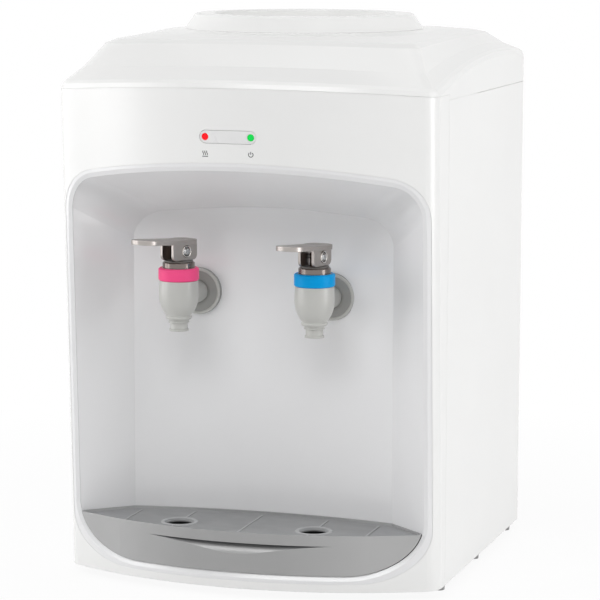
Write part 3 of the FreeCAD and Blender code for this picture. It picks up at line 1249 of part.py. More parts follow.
def lever():
    """The pressed lever: a flat tongue that rises to a round tip, on two ears with rounded heels."""
    u, t, w = s.lever_underside, s.lever_thickness, s.lever_width
    rear, tip = s.lever_rear, -s.lever_reach
    side = [V(-w / 2, rear, u), V(-w / 2, rear, u + t), V(-w / 2, 0, u + t),
            V(-w / 2, tip, u + t + s.lever_rise), V(-w / 2, tip, u + s.lever_rise), V(-w / 2, 0, u)]
    tongue = Part.Face(Part.makePolygon(side + side[:1])).extrude(V(w, 0, 0))
    corner, slant = s.lever_rear_round, s.lever_rear_round * (1 - math.sqrt(0.5))
    half, nose = w / 2, tip + w / 2
    plan = [Part.Arc(V(-half, nose, 0), V(0, tip, 0), V(half, nose, 0)).toShape(),
            Part.makeLine(V(half, nose, 0), V(half, rear - corner, 0)),
            Part.Arc(V(half, rear - corner, 0), V(half - slant, rear - slant, 0),
                     V(half - corner, rear, 0)).toShape(),
            Part.makeLine(V(half - corner, rear, 0), V(corner - half, rear, 0)),
            Part.Arc(V(corner - half, rear, 0), V(slant - half, rear - slant, 0),
                     V(-half, rear - corner, 0)).toShape(),
            Part.makeLine(V(-half, rear - corner, 0), V(-half, nose, 0))]
    tongue = tongue.common(Part.Face(Part.Wire(plan)).extrude(V(0, 0, 2 * u)))
    long, low, e = s.clevis_length / 2, s.ear_bottom, s.ear_round
    slant = e * (1 - math.sqrt(0.5))

    def at(y, z):
        return V(-s.clevis_width / 2, y, z)

    cheek = [Part.Arc(at(-long, low + e), at(slant - long, low + slant), at(e - long, low)).toShape(),
             Part.makeLine(at(e - long, low), at(long - e, low)),
             Part.Arc(at(long - e, low), at(long - slant, low + slant), at(long, low + e)).toShape(),
             Part.makeLine(at(long, low + e), at(long, u)), Part.makeLine(at(long, u), at(0, u)),
             Part.makeLine(at(0, u), at(-long, u + s.lever_rise * long / s.lever_reach)),
             Part.makeLine(at(-long, u + s.lever_rise * long / s.lever_reach), at(-long, low + e))]
    ear = Part.Face(Part.Wire(cheek)).extrude(V(s.ear_thickness, 0, 0))
    other = ear.copy()
    other.translate(V(s.clevis_width - s.ear_thickness, 0, 0))
    eye = Part.makeCylinder(s.pin_radius + s.running_fit, 2 * s.clevis_width,
                            V(-s.clevis_width, s.pin_setback, s.pin_height), V(1, 0, 0))
    return tongue.fuse([ear, other]).cut(eye)


def pin():
    """The pin through the ears and the stem's eye, with a round head on one side and an upset end."""
    half = s.clevis_width / 2 + s.clearance
    rod = turned_solid([(0, -half - s.pin_head), (s.pin_head_radius * 0.8, -half - s.pin_head),
                        (s.pin_head_radius * 0.8, -half), (s.pin_radius, -half), (s.pin_radius, half),
                        (s.pin_head_radius, half), (s.pin_head_radius * 0.7, half + s.pin_head),
                        (0, half + s.pin_head)])
    rod.rotate(V(0, 0, 0), V(0, 1, 0), 90)
    rod.translate(V(0, s.pin_setback, s.pin_height))
    return rod


for name, spot in tap_spots.items():
    turn = FreeCAD.Rotation(up, -yaws[name])
    feature(name + "_tap_body", tap_body(), spot)
    feature(name + "_tap_ring", ring(), spot)
    feature(name + "_washer", thrust_washer(), spot)
    feature(name + "_stem", stem(), spot, turn)
    feature(name + "_plug", plug(), spot)
    feature(name + "_spring", return_spring(), spot)
    feature(name + "_lever", lever(), spot, turn)
    feature(name + "_pin", pin(), spot, turn)
feature("tap_bonnets", copies_at(bonnet(), [tuple(spot) for spot in tap_spots.values()]))
wall_pieces = {"tap_wall_flanges": wall_flange, "tap_wall_gaskets": wall_gasket, "tap_wall_nuts": wall_nut}
for label, make in wall_pieces.items():
    feature(label, Part.makeCompound([make(spot) for spot in tap_spots.values()]))


# ---------------------------------------------------------------- lights

def light_window():
    """The translucent strip: a stadium flush in its slot, with a flange behind the panel."""
    near = s.wall + s.clearance
    far = near + s.light_flange_thickness
    strip = light_slot(0, front_y, board_front).common(housing_skin(s.rim_recess, far))
    window = strip.fuse(light_slot(s.light_flange, front_y, board_front).common(housing_skin(near, far)))
    for side in (-1, 1):
        window = window.cut(Part.makeCylinder(s.led_radius + s.clearance, board_front - front_y,
                                              V(side * s.led_spacing / 2, front_y - 1, light_z), back))
    return window


def led(side):
    """An indicator lamp: a round body with a domed lens, standing on the board."""
    x = side * s.led_spacing / 2
    face = front_point(abs(x), 0, light_z)
    foot, tip = s.led_radius + s.led_foot, board_front - face
    rod = turned_solid([(0, 0), (foot, 0), (foot, 1), (s.led_radius, 1), (s.led_radius, tip - 1),
                        (s.led_radius * 0.6, tip), (0, tip)])
    rod.rotate(V(0, 0, 0), V(1, 0, 0), 90)
    rod.translate(V(x, board_front, light_z))
    return rod


def board():
    half = board_boss_x + s.boss_radius
    corner = V(-half, board_front + s.clearance, light_z - s.board_height / 2)
    plate = Part.makeBox(2 * half, s.board_thickness, s.board_height, corner)
    for side in (-1, 1):
        spot = V(side * board_boss_x, board_front, light_z)
        plate = plate.cut(Part.makeCylinder(s.screw_radius + s.clearance, 2 * s.board_gap, spot, back))
    return plate


feature("light_window", light_window())
feature("hot_lamp", led(-1))
feature("power_lamp", led(1))
feature("lamp_board", board())
board_shank = s.screw_radius - s.clearance
board_screw = turned_solid([(0, -s.board_gap), (board_shank, -s.board_gap), (board_shank, 0),
                            (s.screw_head_radius, 0), (s.screw_head_radius * 0.7, s.screw_head_height),
                            (0, s.screw_head_height)])
board_screw.rotate(V(0, 0, 0), V(1, 0, 0), -90)
screw_y = board_front + 2 * s.clearance + s.board_thickness
feature("board_screws", copies_at(board_screw, [(side * board_boss_x, screw_y, light_z) for side in (-1, 1)]))


# ---------------------------------------------------------------- rear fittings

sheet_rear = rear_y - s.wall - s.fit
switch_x = number(SWITCH_X)
pivot = V(switch_x, sheet_rear + s.switch_frame - s.rocker_pivot, s.switch_height)
turned_back = FreeCAD.Rotation(V(1, 0, 0), -90)


def switch_housing():
    """The switch: a frame outside the sheet, a body through it, an open well and three terminals."""
    wide, tall, depth = s.switch_width, s.switch_length, s.switch_depth
    outside = sheet_rear + s.switch_frame

    def box(half_x, half_z, near, far):
        return Part.makeBox(2 * half_x, far - near, 2 * half_z,
                            V(switch_x - half_x, near, s.switch_height - half_z))

    frame = box(wide / 2 + s.switch_frame, tall / 2 + s.switch_frame, sheet_rear + s.clearance, outside)
    body = box(wide / 2, tall / 2, outside - depth, outside)
    well = box(s.rocker_width / 2 + s.fit, s.rocker_length / 2 + 1.2, pivot.y - 7, outside + 1)
    solid = frame.fuse(body).cut(well)
    long, thick = s.terminal_length, s.terminal_thickness
    for i in (-1, 0, 1):
        corner = V(switch_x - s.terminal_width / 2, outside - depth - long,
                   s.switch_height + i * s.terminal_pitch - thick / 2)
        solid = solid.fuse(Part.makeBox(s.terminal_width, long, thick, corner))
    return solid.cut(Part.makeCylinder(s.rocker_pin_radius + s.running_fit, wide + 2,
                                       pivot - V(wide / 2 + 1, 0, 0), V(1, 0, 0)))


def rocker():
    """The rocker: two slopes that meet over its pivot, a belly inside and two pivot pins."""
    half, wide, belly = s.rocker_length / 2, s.rocker_width, -s.rocker_belly
    points = [(-half, s.rocker_crest), (0, s.rocker_saddle), (half, s.rocker_crest), (half, s.rocker_edge),
              (half / 3, belly), (-half / 3, belly), (-half, s.rocker_edge)]
    corners = [V(-wide / 2, y, z) for z, y in points]
    block = Part.Face(Part.makePolygon(corners + corners[:1])).extrude(V(wide, 0, 0))
    reach = s.switch_width / 2 - s.fit
    return block.fuse(Part.makeCylinder(s.rocker_pin_radius, 2 * reach, V(-reach, 0, 0), V(1, 0, 0)))


def cord_gland():
    """The cord's inlet: a rounded flange outside, a bored body through the sheet and a nut inside."""
    face, inside = s.clearance, -s.back_thickness - s.clearance
    body, edge = s.gland_radius, s.gland_flange
    gland = turned_solid([(s.cord_bore, -s.gland_length), (body, -s.gland_length), (body, face), (edge, face),
                          (edge, face + s.gland_edge), (body, face + s.gland_dome),
                          (s.cord_bore, face + s.gland_dome)])
    nut = turned_solid([(body, inside - s.gland_nut), (edge, inside - s.gland_nut), (edge, inside),
                        (body, inside)])
    return gland.fuse(nut)


def drain_spout():
    """The drain's outlet: a flange against the sheet, a barb for the hose inside and a plain bore."""
    stop = s.back_thickness + s.drain_spout_length - s.fit
    barb = stop + s.stub_length
    return turned_solid([(s.stub_bore, -barb), (s.stub_radius, -barb), (s.stub_radius, -stop),
                         (s.drain_radius, -stop), (s.drain_radius, s.clearance),
                         (s.drain_flange_radius, s.clearance), (s.drain_flange_radius, s.drain_flange),
                         (s.drain_bore, s.drain_flange), (s.drain_bore, -stop + 2), (s.stub_bore, -stop + 2)])


def drain_cap():
    """The push-in plug of the drain, with a grooved grip that ends at the dispenser's rear limit."""
    end = s.rear_projection + s.wall + s.fit
    grip = s.drain_flange + s.fit
    tip = grip - s.cap_plug_length
    plug_r, r, waist = s.drain_bore - s.clearance, s.cap_radius, s.cap_radius - s.cap_groove
    return turned_solid([(0, tip), (plug_r - 0.8, tip), (plug_r, tip + 1.5), (plug_r, grip), (r, grip),
                         (r, grip + 3), (waist, grip + 4.5), (waist, end - 3), (r, end - 2), (r - 1, end),
                         (0, end)])


feature("switch_housing", switch_housing())
feature("rocker", rocker(), pivot, FreeCAD.Rotation(V(1, 0, 0), -s.rocker_tilt))
feature("cord_gland", cord_gland(), V(number(GLAND_X), sheet_rear, s.gland_height), turned_back)
feature("drain_spout", drain_spout(), V(s.tank_x, sheet_rear, s.drain_height), turned_back)
feature("drain_cap", drain_cap(), V(s.tank_x, sheet_rear, s.drain_height), turned_back)


# ---------------------------------------------------------------- checks and export

doc.recompute()
os.makedirs("parts", exist_ok=True)
pieces = [thing for thing in doc.Objects if thing.TypeId in ("PartDesign::Body", "Part::Feature")]
for thing in doc.Objects:
    if "Invalid" in thing.State or "Error" in thing.State:
        raise ValueError(thing.Label + " did not build")
for thing in pieces:
    if thing.Shape.isNull() or not thing.Shape.isValid() or not thing.Shape.Solids:
        raise ValueError(thing.Label + " is not a valid solid")
    thing.Shape.exportStep("parts/%s.step" % thing.Label)
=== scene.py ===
"""Looks of the countertop water dispenser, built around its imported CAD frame.

Everything is in metres in the frame's own axes: +Z up, +X to the right seen from the front, -Y towards
the user. Places come from the nodes' boxes and from rays that meet their surfaces.
"""
import json
import math

import bmesh
import bpy
from mathutils import Matrix, Vector
from mathutils.bvhtree import BVHTree

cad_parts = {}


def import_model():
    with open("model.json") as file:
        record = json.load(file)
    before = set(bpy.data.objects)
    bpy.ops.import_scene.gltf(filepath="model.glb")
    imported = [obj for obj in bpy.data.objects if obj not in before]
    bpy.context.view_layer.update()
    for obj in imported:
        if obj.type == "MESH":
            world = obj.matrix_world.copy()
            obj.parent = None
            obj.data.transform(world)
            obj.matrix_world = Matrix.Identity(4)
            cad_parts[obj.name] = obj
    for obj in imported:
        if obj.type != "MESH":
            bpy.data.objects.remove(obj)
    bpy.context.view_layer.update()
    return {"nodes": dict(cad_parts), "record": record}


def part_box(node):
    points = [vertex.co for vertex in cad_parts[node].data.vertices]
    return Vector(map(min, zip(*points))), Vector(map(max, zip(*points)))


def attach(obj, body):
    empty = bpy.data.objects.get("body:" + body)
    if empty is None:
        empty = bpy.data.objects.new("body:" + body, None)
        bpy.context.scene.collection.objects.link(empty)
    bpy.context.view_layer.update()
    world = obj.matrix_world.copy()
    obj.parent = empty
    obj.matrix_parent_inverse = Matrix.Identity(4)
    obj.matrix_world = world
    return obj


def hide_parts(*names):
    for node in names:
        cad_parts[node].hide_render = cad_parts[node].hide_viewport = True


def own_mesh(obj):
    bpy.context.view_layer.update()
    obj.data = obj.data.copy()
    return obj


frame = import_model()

MM = 0.001


# ---------------------------------------------------------------- node helpers

def srgb(red, green, blue):
    """A display colour, 0 to 255, as the linear values that a shader takes."""
    def linear(value):
        value /= 255
        return value / 12.92 if value <= 0.04045 else ((value + 0.055) / 1.055) ** 2.4
    return linear(red), linear(green), linear(blue), 1


class Shader:
    """A short way to write one material's nodes."""

    def __init__(self, name):
        self.material = bpy.data.materials.new(name)
        self.material.use_nodes = True
        self.tree = self.material.node_tree
        self.tree.nodes.clear()
        self.output = self.node("ShaderNodeOutputMaterial")
        self.place = self.node("ShaderNodeTexCoord").outputs["Object"]

    def node(self, kind, settings=None, **inputs):
        node = self.tree.nodes.new(kind)
        for key, value in (settings or {}).items():
            setattr(node, key, value)
        for key, value in inputs.items():
            self.feed(node.inputs[key.replace("_", " ")], value)
        return node

    def feed(self, socket, value):
        if isinstance(value, bpy.types.NodeSocket):
            self.tree.links.new(value, socket)
        elif isinstance(value, bpy.types.Node):
            self.tree.links.new(value.outputs[0], socket)
        else:
            socket.default_value = value

    def stretched(self, x, y, z):
        """The place in metres, scaled along each axis."""
        return self.node("ShaderNodeMapping", None, Vector=self.place, Scale=(x, y, z)).outputs[0]

    def noise(self, scale, detail=2.0, vector=None, rough=0.5):
        return self.node("ShaderNodeTexNoise", None, Vector=vector or self.place, Scale=scale,
                         Detail=detail, Roughness=rough).outputs["Fac"]

    def spread(self, value, low, high, start=0.3, end=0.7):
        """A number between low and high, as a value goes from start to end."""
        node = self.node("ShaderNodeMapRange", None, Value=value)
        for index, amount in zip((1, 2, 3, 4), (start, end, low, high)):
            node.inputs[index].default_value = amount
        return node.outputs[0]

    def tint(self, value, first, second, start=0.3, end=0.7):
        """A colour between two, as a value goes from start to end."""
        ramp = self.node("ShaderNodeValToRGB", None, Fac=value)
        ramp.color_ramp.elements[0].position = start
        ramp.color_ramp.elements[0].color = first
        ramp.color_ramp.elements[1].position = end
        ramp.color_ramp.elements[1].color = second
        return ramp.outputs[0]

    def mix(self, factor, first, second):
        """Two colours mixed by a factor."""
        node = self.node("ShaderNodeMix", {"data_type": "RGBA"}, Factor=factor)
        self.feed(node.inputs[6], first)
        self.feed(node.inputs[7], second)
        return node.outputs[2]

    def along(self, vector, axis):
        """One part of a vector, by its letter."""
        return self.node("ShaderNodeSeparateXYZ", None, Vector=vector).outputs[axis]

    def bump(self, height, strength, distance, edge=0.0):
        """A bump of fine relief, over edges softened by a bevel."""
        inputs = {"Strength": strength, "Distance": distance, "Height": height}
        if edge:
            bevel = self.node("ShaderNodeBevel", {"samples": 6})
            bevel.inputs["Radius"].default_value = edge
            inputs["Normal"] = bevel
        return self.node("ShaderNodeBump", None, **inputs).outputs[0]

    def surface(self, **inputs):
        shader = self.node("ShaderNodeBsdfPrincipled")
        for key, value in inputs.items():
            self.feed(shader.inputs[key.replace("_", " ")], value)
        self.tree.links.new(shader.outputs[0], self.output.inputs["Surface"])
        return self.material


def shade(color, factor):
    return tuple(channel * factor for channel in color[:3]) + (1,)


# ---------------------------------------------------------------- materials

def moulded(name, color, rough=0.26, peel=0.02, coat=0.25, edge=0.5, grain=500, gloss=0.5):
    """Gloss moulded plastic: a faint flow in the colour, a slow change in the gloss and orange peel."""
    m = Shader(name)
    cloud = m.noise(7, 3)
    base = m.tint(cloud, shade(color, 0.98), color)
    wear = m.spread(m.noise(9, 2), rough * 0.95, rough * 1.05)
    relief = m.noise(grain, 2)
    return m.surface(Base_Color=base, Roughness=wear, Coat_Weight=coat, Coat_Roughness=0.22, IOR=1.5,
                     Specular_IOR_Level=gloss, Normal=m.bump(relief, peel, 0.4 * MM, edge * MM))


def satin(name, color, rough=0.42, grain=2400, depth=0.25, edge=0.4, metallic=0.0, painted_top_shade=None, painted_reflection_ends=None):
    """Satin plastic with the fine sparked texture of its mould.

    Faces that look up may take another colour as painted shade, and a long piece may carry a painted
    reflection: darker in its middle, full colour at its ends.
    """
    m = Shader(name)
    cloud = m.noise(11, 3)
    base = m.tint(cloud, shade(color, 0.94), color)
    # Painted reflection: darker across the middle of the piece, full colour towards its ends.
    if painted_reflection_ends:
        outer = m.node("ShaderNodeMath", {"operation": "ABSOLUTE"})
        m.feed(outer.inputs[0], m.along(m.place, "X"))
        base = m.mix(m.spread(outer, 0, 1, painted_reflection_ends * 0.35, painted_reflection_ends), shade(color, 0.8), base)
    # Painted shade: faces that look up take a darker colour, as if they caught less light.
    if painted_top_shade:
        rise = m.along(m.node("ShaderNodeNewGeometry").outputs["Normal"], "Z")
        base = m.mix(m.spread(rise, 0, 1, 0.7, 0.95), base, painted_top_shade)
    spark = m.noise(grain, 3, rough=0.7)
    gloss = m.spread(m.noise(60, 3), rough * 0.85, rough * 1.15)
    return m.surface(Base_Color=base, Metallic=metallic, Roughness=gloss, IOR=1.5, Coat_Weight=0.15,
                     Coat_Roughness=0.25, Normal=m.bump(spark, depth, 0.25 * MM, edge * MM))


def ridged(name, color, pale, height):
    """Satin plastic whose raised lines and rings, above a height, are painted paler."""
    m = Shader(name)
    raised = m.spread(m.along(m.place, "Z"), 0, 1, height, height + 0.1 * MM)
    flow = m.tint(m.noise(26, 4, m.stretched(0.35, 1, 1), 0.6), shade(color, 0.9), shade(color, 1.06))
    spark = m.noise(2400, 3, rough=0.7)
    return m.surface(Base_Color=m.mix(raised, flow, pale), Roughness=m.spread(m.noise(60, 3), 0.36, 0.48),
                     IOR=1.5, Normal=m.bump(spark, 0.2, 0.25 * MM, 0.3 * MM))


def metal(name, color, rough, stretch=(60, 60, 60), strength=0.04, edge=0.25, spread=0.35):
    """Metal with fine marks stretched along one way and a breath of haze in its gloss."""
    m = Shader(name)
    grain = m.noise(14, 3, m.stretched(*stretch), 0.6)
    haze = m.noise(90, 3)
    base = m.tint(haze, shade(color, 0.93), color)
    gloss = m.spread(grain, rough * (1 - spread), rough * (1 + spread))
    return m.surface(Base_Color=base, Metallic=1.0, Roughness=gloss,
                     Normal=m.bump(grain, strength, 0.2 * MM, edge * MM))


def rubber(name, color, rough=0.6):
    """Rubber with a dusty bloom and a fine grain."""
    m = Shader(name)
    bloom = m.noise(120, 4, rough=0.65)
    base = m.tint(bloom, color, shade(color, 1.5))
    return m.surface(Base_Color=base, Roughness=m.spread(bloom, rough, rough * 1.3), IOR=1.45,
                     Normal=m.bump(m.noise(2600, 2), 0.3, 0.2 * MM, 0.3 * MM))


def silicone(name, color):
    """Milky hose and seal material that lets a little light in."""
    m = Shader(name)
    flow = m.noise(50, 3, m.stretched(1, 1, 0.2))
    return m.surface(Base_Color=m.tint(flow, shade(color, 0.92), color), Roughness=0.35, IOR=1.42,
                     Subsurface_Weight=0.4, Subsurface_Scale=3 * MM,
                     Normal=m.bump(m.noise(500, 2), 0.1, 0.2 * MM))


def lens(name, color, glow, strength):
    """A tinted lamp lens with a faint unevenness, lit from behind."""
    m = Shader(name)
    flow = m.noise(420, 2)
    return m.surface(Base_Color=m.tint(flow, shade(color, 0.8), color), Roughness=0.15, IOR=1.5,
                     Specular_IOR_Level=0.25, Emission_Color=glow, Emission_Strength=strength,
                     Normal=m.bump(flow, 0.1, 0.2 * MM, 0.2 * MM))


def printed(name, color):
    """Thin ink, a little uneven."""
    m = Shader(name)
    patch = m.noise(1800, 3)
    return m.surface(Base_Color=m.tint(patch, shade(color, 0.85), color), Roughness=0.5,
                     Normal=m.bump(patch, 0.1, 0.05 * MM))


def board_lacquer(name, color):
    """Green circuit lacquer over faint copper runs."""
    m = Shader(name)
    runs = m.noise(180, 1, m.stretched(1, 1, 4))
    return m.surface(Base_Color=m.tint(runs, shade(color, 0.7), shade(color, 1.3), 0.48, 0.52),
                     Roughness=0.3, Normal=m.bump(runs, 0.2, 0.1 * MM))


MATERIALS = {
    "housing_white": moulded("housing_white", srgb(247, 247, 246)),
    "liner_grey": moulded("liner_grey", srgb(240, 240, 241), rough=0.2, coat=0.5),
    # The tray's darker tops are painted shade, and its darker middle with paler ends is a painted reflection.
    "tray_grey": satin("tray_grey", srgb(176, 176, 176), rough=0.34, metallic=0.5, painted_top_shade=srgb(154, 155, 157),
                       painted_reflection_ends=0.1),
    "tap_grey": moulded("tap_grey", srgb(196, 196, 192), rough=0.3, peel=0.04, coat=0.1, edge=0.4),
    "hot_pink": moulded("hot_pink", srgb(255, 88, 146), rough=0.4, coat=0.0, grain=1500, gloss=0.12),
    "ambient_blue": moulded("ambient_blue", srgb(0, 162, 232), rough=0.4, coat=0.0, grain=1500, gloss=0.12),
    "chrome": metal("chrome", srgb(128, 119, 115), 0.2),
    "lever_silver": metal("lever_silver", srgb(176, 170, 166), 0.34, (12, 4, 12), 0.012, 0.5, 0.12),
    "steel": metal("steel", srgb(190, 190, 190), 0.28, (40, 40, 8), 0.1),
    "sheet_white": satin("sheet_white", srgb(238, 238, 236), rough=0.38, grain=1200, depth=0.15),
    "washer_white": satin("washer_white", srgb(112, 108, 104), rough=0.35),
    "food_white": moulded("food_white", srgb(238, 238, 232), rough=0.32, coat=0.1),
    "base_black": satin("base_black", srgb(44, 44, 46), rough=0.45),
    "drain_grey": satin("drain_grey", srgb(132, 133, 136)),
    "rubber": rubber("rubber", srgb(40, 40, 41)),
    "silicone": silicone("silicone", srgb(224, 223, 216)),
    "window_clear": satin("window_clear", srgb(243, 243, 243), rough=0.3, depth=0.1),
    "lamp_red": lens("lamp_red", srgb(222, 8, 22), srgb(255, 10, 26), 0.5),
    "lamp_green": lens("lamp_green", srgb(0, 178, 66), srgb(0, 226, 84), 0.5),
    "board_green": board_lacquer("board_green", srgb(40, 98, 58)),
}
INK = printed("ink_grey", srgb(52, 52, 56))
MARK_WHITE = printed("mark_white", srgb(228, 228, 226))
# Painted shade: a dark colour for the shade in the screws' cross recesses and round the pin heads.
PAINTED_RECESS_SHADE = printed("recess_painted_shade", srgb(58, 58, 60))
# Painted shade: the wall flanges take a darker copy of the taps' grey, for the shadow of the tap bodies.
PAINTED_FLANGE_SHADE = moulded("flange_painted_shade", srgb(152, 152, 149), rough=0.4, peel=0.04, coat=0.0)
FOOT = rubber("foot_grey", srgb(150, 150, 150))
# Painted shade: the stems are dark for the shadow between the lever's ears.
PAINTED_STEM_SHADE = metal("stem_painted_shade", srgb(112, 99, 90), 0.4)
PIN_RIM = metal("pin_rim", srgb(216, 212, 208), 0.22, (12, 12, 12), 0.012)
RAISED_ABOVE = 49.6 * MM  # the grate's own face; its lines and rings stand higher
GRATE = ridged("grate_grey", srgb(146, 147, 148), srgb(176, 177, 178), RAISED_ABOVE)
OWN_MATERIAL = {"drip_grate": GRATE, "tap_wall_flanges": PAINTED_FLANGE_SHADE, "hot_stem": PAINTED_STEM_SHADE, "ambient_stem": PAINTED_STEM_SHADE,
                "rubber_feet": FOOT}
for entry in frame["record"]["subparts"]:
    data = frame["nodes"][entry["node"]].data
    data.materials.clear()
    data.materials.append(OWN_MATERIAL.get(entry["node"], MATERIALS[entry["material_slot"]]))


# ---------------------------------------------------------------- pieces

UP, OUT, IN, RIGHT = Vector((0, 0, 1)), Vector((0, -1, 0)), Vector((0, 1, 0)), Vector((1, 0, 0))
JOINTS = {joint["name"]: joint for joint in frame["record"]["behaviour"]["joints"]}


def add_piece(name, mesh, body):
    """A new object from a mesh that has its material, on its body."""
    piece = bpy.data.objects.new(name, mesh)
    bpy.context.scene.collection.objects.link(piece)
    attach(piece, body)
    return piece


def finished(name, work, material):
    """A mesh from finished faces, all facing out."""
    bmesh.ops.recalc_face_normals(work, faces=work.faces)
    mesh = bpy.data.meshes.new(name)
    work.to_mesh(mesh)
    work.free()
    mesh.materials.append(material)
    return mesh


def strip(work, rows, closed):
    """A thin strip through rows of four corners: the outer and inner ones of one edge, then of the other."""
    rows = [[work.verts.new(corner) for corner in row] for row in rows]
    if closed:
        rows.append(rows[0])
    for (a, b, c, d), (e, f, g, h) in zip(rows, rows[1:]):
        for corners in ((a, c, g, e), (b, f, h, d), (a, e, f, b), (c, d, h, g)):
            work.faces.new(corners)
    if not closed:
        for a, b, c, d in (rows[0], rows[-1]):
            work.faces.new((a, b, d, c))


def surface_of(*names):
    """The surface of one or more nodes, ready to be met by rays."""
    corners, faces = [], []
    for name in names:
        node = frame["nodes"][name]
        first = len(corners)
        corners += [node.matrix_world @ vertex.co for vertex in node.data.vertices]
        faces += [[first + index for index in face.vertices] for face in node.data.polygons]
    return BVHTree.FromPolygons(corners, faces)


def middle_of(name):
    low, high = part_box(name)
    return (Vector(low) + Vector(high)) / 2


# ---------------------------------------------------------------- small printed and pressed marks

RAY_START = 50 * MM


def ribbon(points, width, closed):
    """The two edges of a stroke of even width along flat points, with mitred turns."""
    spots = [Vector(point) for point in points]
    count = len(spots)
    left, right = [], []
    for i, spot in enumerate(spots):
        before = spots[i - 1] if i or closed else spot
        after = spots[(i + 1) % count] if i + 1 < count or closed else spot
        way = (after - before).normalized()
        side = Vector((-way.y, way.x)) * width / 2
        left.append(spot + side)
        right.append(spot - side)
    return left, right


def marks(name, carrier, strokes, centre, toward, across, material, body, lift=0.04 * MM):
    """Thin strokes laid on a node's surface. Rays run along `toward`, the strokes' own X along `across`."""
    surface = surface_of(carrier)
    work = bmesh.new()
    for points, width, closed in strokes:
        rows = []
        for edges in zip(*ribbon(points, width, closed)):
            row = []
            for point in edges:
                start = centre + across * point.x + UP * point.y - toward * RAY_START
                place, normal = surface.ray_cast(start, toward)[:2]
                row += [place + normal * lift, place - normal * lift / 2]
            rows.append(row)
        strip(work, rows, closed)
    add_piece(name, finished(name, work, material), body)


def circle(radius, start=0.0, end=360.0, steps=28):
    closed = end - start >= 360
    last = steps if closed else steps - 1
    angles = [math.radians(start + (end - start) * i / last) for i in range(steps)]
    return [(radius * math.cos(angle), radius * math.sin(angle)) for angle in angles], closed


def heat_strokes(height):
    """Three rising waves over a bar, the usual sign for heat."""
    strokes = [([(-0.55 * height, -0.5 * height), (0.55 * height, -0.5 * height)], 0.13 * height, False)]
    for x in (-0.36, 0, 0.36):
        wave = [((x + 0.09 * math.sin(math.tau * i / 12)) * height, (-0.28 + 0.78 * i / 12) * height)
                for i in range(13)]
        strokes.append((wave, 0.13 * height, False))
    return strokes


def power_strokes(height):
    """The usual sign for power: an open ring with a bar in its gap."""
    ring, closed = circle(0.42 * height, 125, 415)
    return [(ring, 0.13 * height, closed), ([(0, 0.02 * height), (0, 0.52 * height)], 0.13 * height, False)]


LAMP_MARK_DROP, LAMP_MARK_HEIGHT = 12.6 * MM, 4.2 * MM
for lamp, strokes in (("hot_lamp", heat_strokes), ("power_lamp", power_strokes)):
    middle = middle_of(lamp)
    marks(lamp + "_mark", "front_panel", strokes(LAMP_MARK_HEIGHT),
          Vector((middle.x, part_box(lamp)[0][1], middle.z - LAMP_MARK_DROP)), IN, RIGHT,
          INK, "housing")

ROCKER_MARK_HALF, ROCKER_RING, ROCKER_LINE = 1.8 * MM, 1.7 * MM, 0.5 * MM
low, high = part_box("rocker")
middle = middle_of("rocker")
quarter = (high[2] - low[2]) / 4
ring, closed = circle(ROCKER_RING)
bar = [(0, -ROCKER_MARK_HALF), (0, ROCKER_MARK_HALF)]
for name, rise, stroke in (("rocker_on_mark", quarter, (bar, ROCKER_LINE, False)),
                           ("rocker_off_mark", -quarter, (ring, ROCKER_LINE, closed))):
    marks(name, "rocker", [stroke], Vector((middle.x, high[1], middle.z + rise)), OUT, -RIGHT,
          MARK_WHITE, "rocker")

# The screws' crosses are painted shade: dark strokes for the shade in the heads' cross recesses.
SCREW_HEAD, CROSS_ARM, CROSS_WIDTH = 3.5 * MM, 1.3 * MM, 0.6 * MM
low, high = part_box("back_screws")
cross = [([(-CROSS_ARM, 0), (CROSS_ARM, 0)], CROSS_WIDTH, False),
         ([(0, -CROSS_ARM), (0, CROSS_ARM)], CROSS_WIDTH, False)]
number = 0
for x in (low[0] + SCREW_HEAD, high[0] - SCREW_HEAD):
    for share in (0, 0.5, 1):
        z = low[2] + SCREW_HEAD + (high[2] - low[2] - 2 * SCREW_HEAD) * share
        number += 1
        marks("screw_cross_shade_%d" % number, "back_screws", cross, Vector((x, high[1], z)), OUT, -RIGHT,
              PAINTED_RECESS_SHADE, "housing", 0.03 * MM)


# ---------------------------------------------------------------- lips behind the front's seams

SEAM_GAP, LIP_COVER, LIP_SINK, LIP_DEPTH = 0.4 * MM, 0.3 * MM, 0.12 * MM, 0.5 * MM
FARTHEST, HALVINGS = 0.3, 12


def seam_lip(name, near, far, lines, slot, closed):
    """A thin lip just under the skin, behind the gap between the near node and the far ones.

    Each line starts over the near node and steps its own way until its ray meets a far one.
    """
    near_skin, far_skin = surface_of(near), surface_of(*far)
    rows = []
    for start, way, toward in lines:
        reach = 0.0
        while reach < FARTHEST and far_skin.ray_cast(start + way * reach, toward)[0] is None:
            reach += MM
        short = reach - MM
        for _ in range(HALVINGS):
            middle = (short + reach) / 2
            if far_skin.ray_cast(start + way * middle, toward)[0] is None:
                short = middle
            else:
                reach = middle
        row = []
        for skin, spot in ((near_skin, reach - SEAM_GAP - LIP_COVER), (far_skin, reach + LIP_COVER)):
            place, normal = skin.ray_cast(start + way * spot, toward)[:2]
            if place is not None:
                row += [place - normal * LIP_SINK, place - normal * LIP_DEPTH]
        if len(row) == 4:
            rows.append(row)
    work = bmesh.new()
    strip(work, rows, closed)
    add_piece(name, finished(name, work, MATERIALS[slot]), "housing")


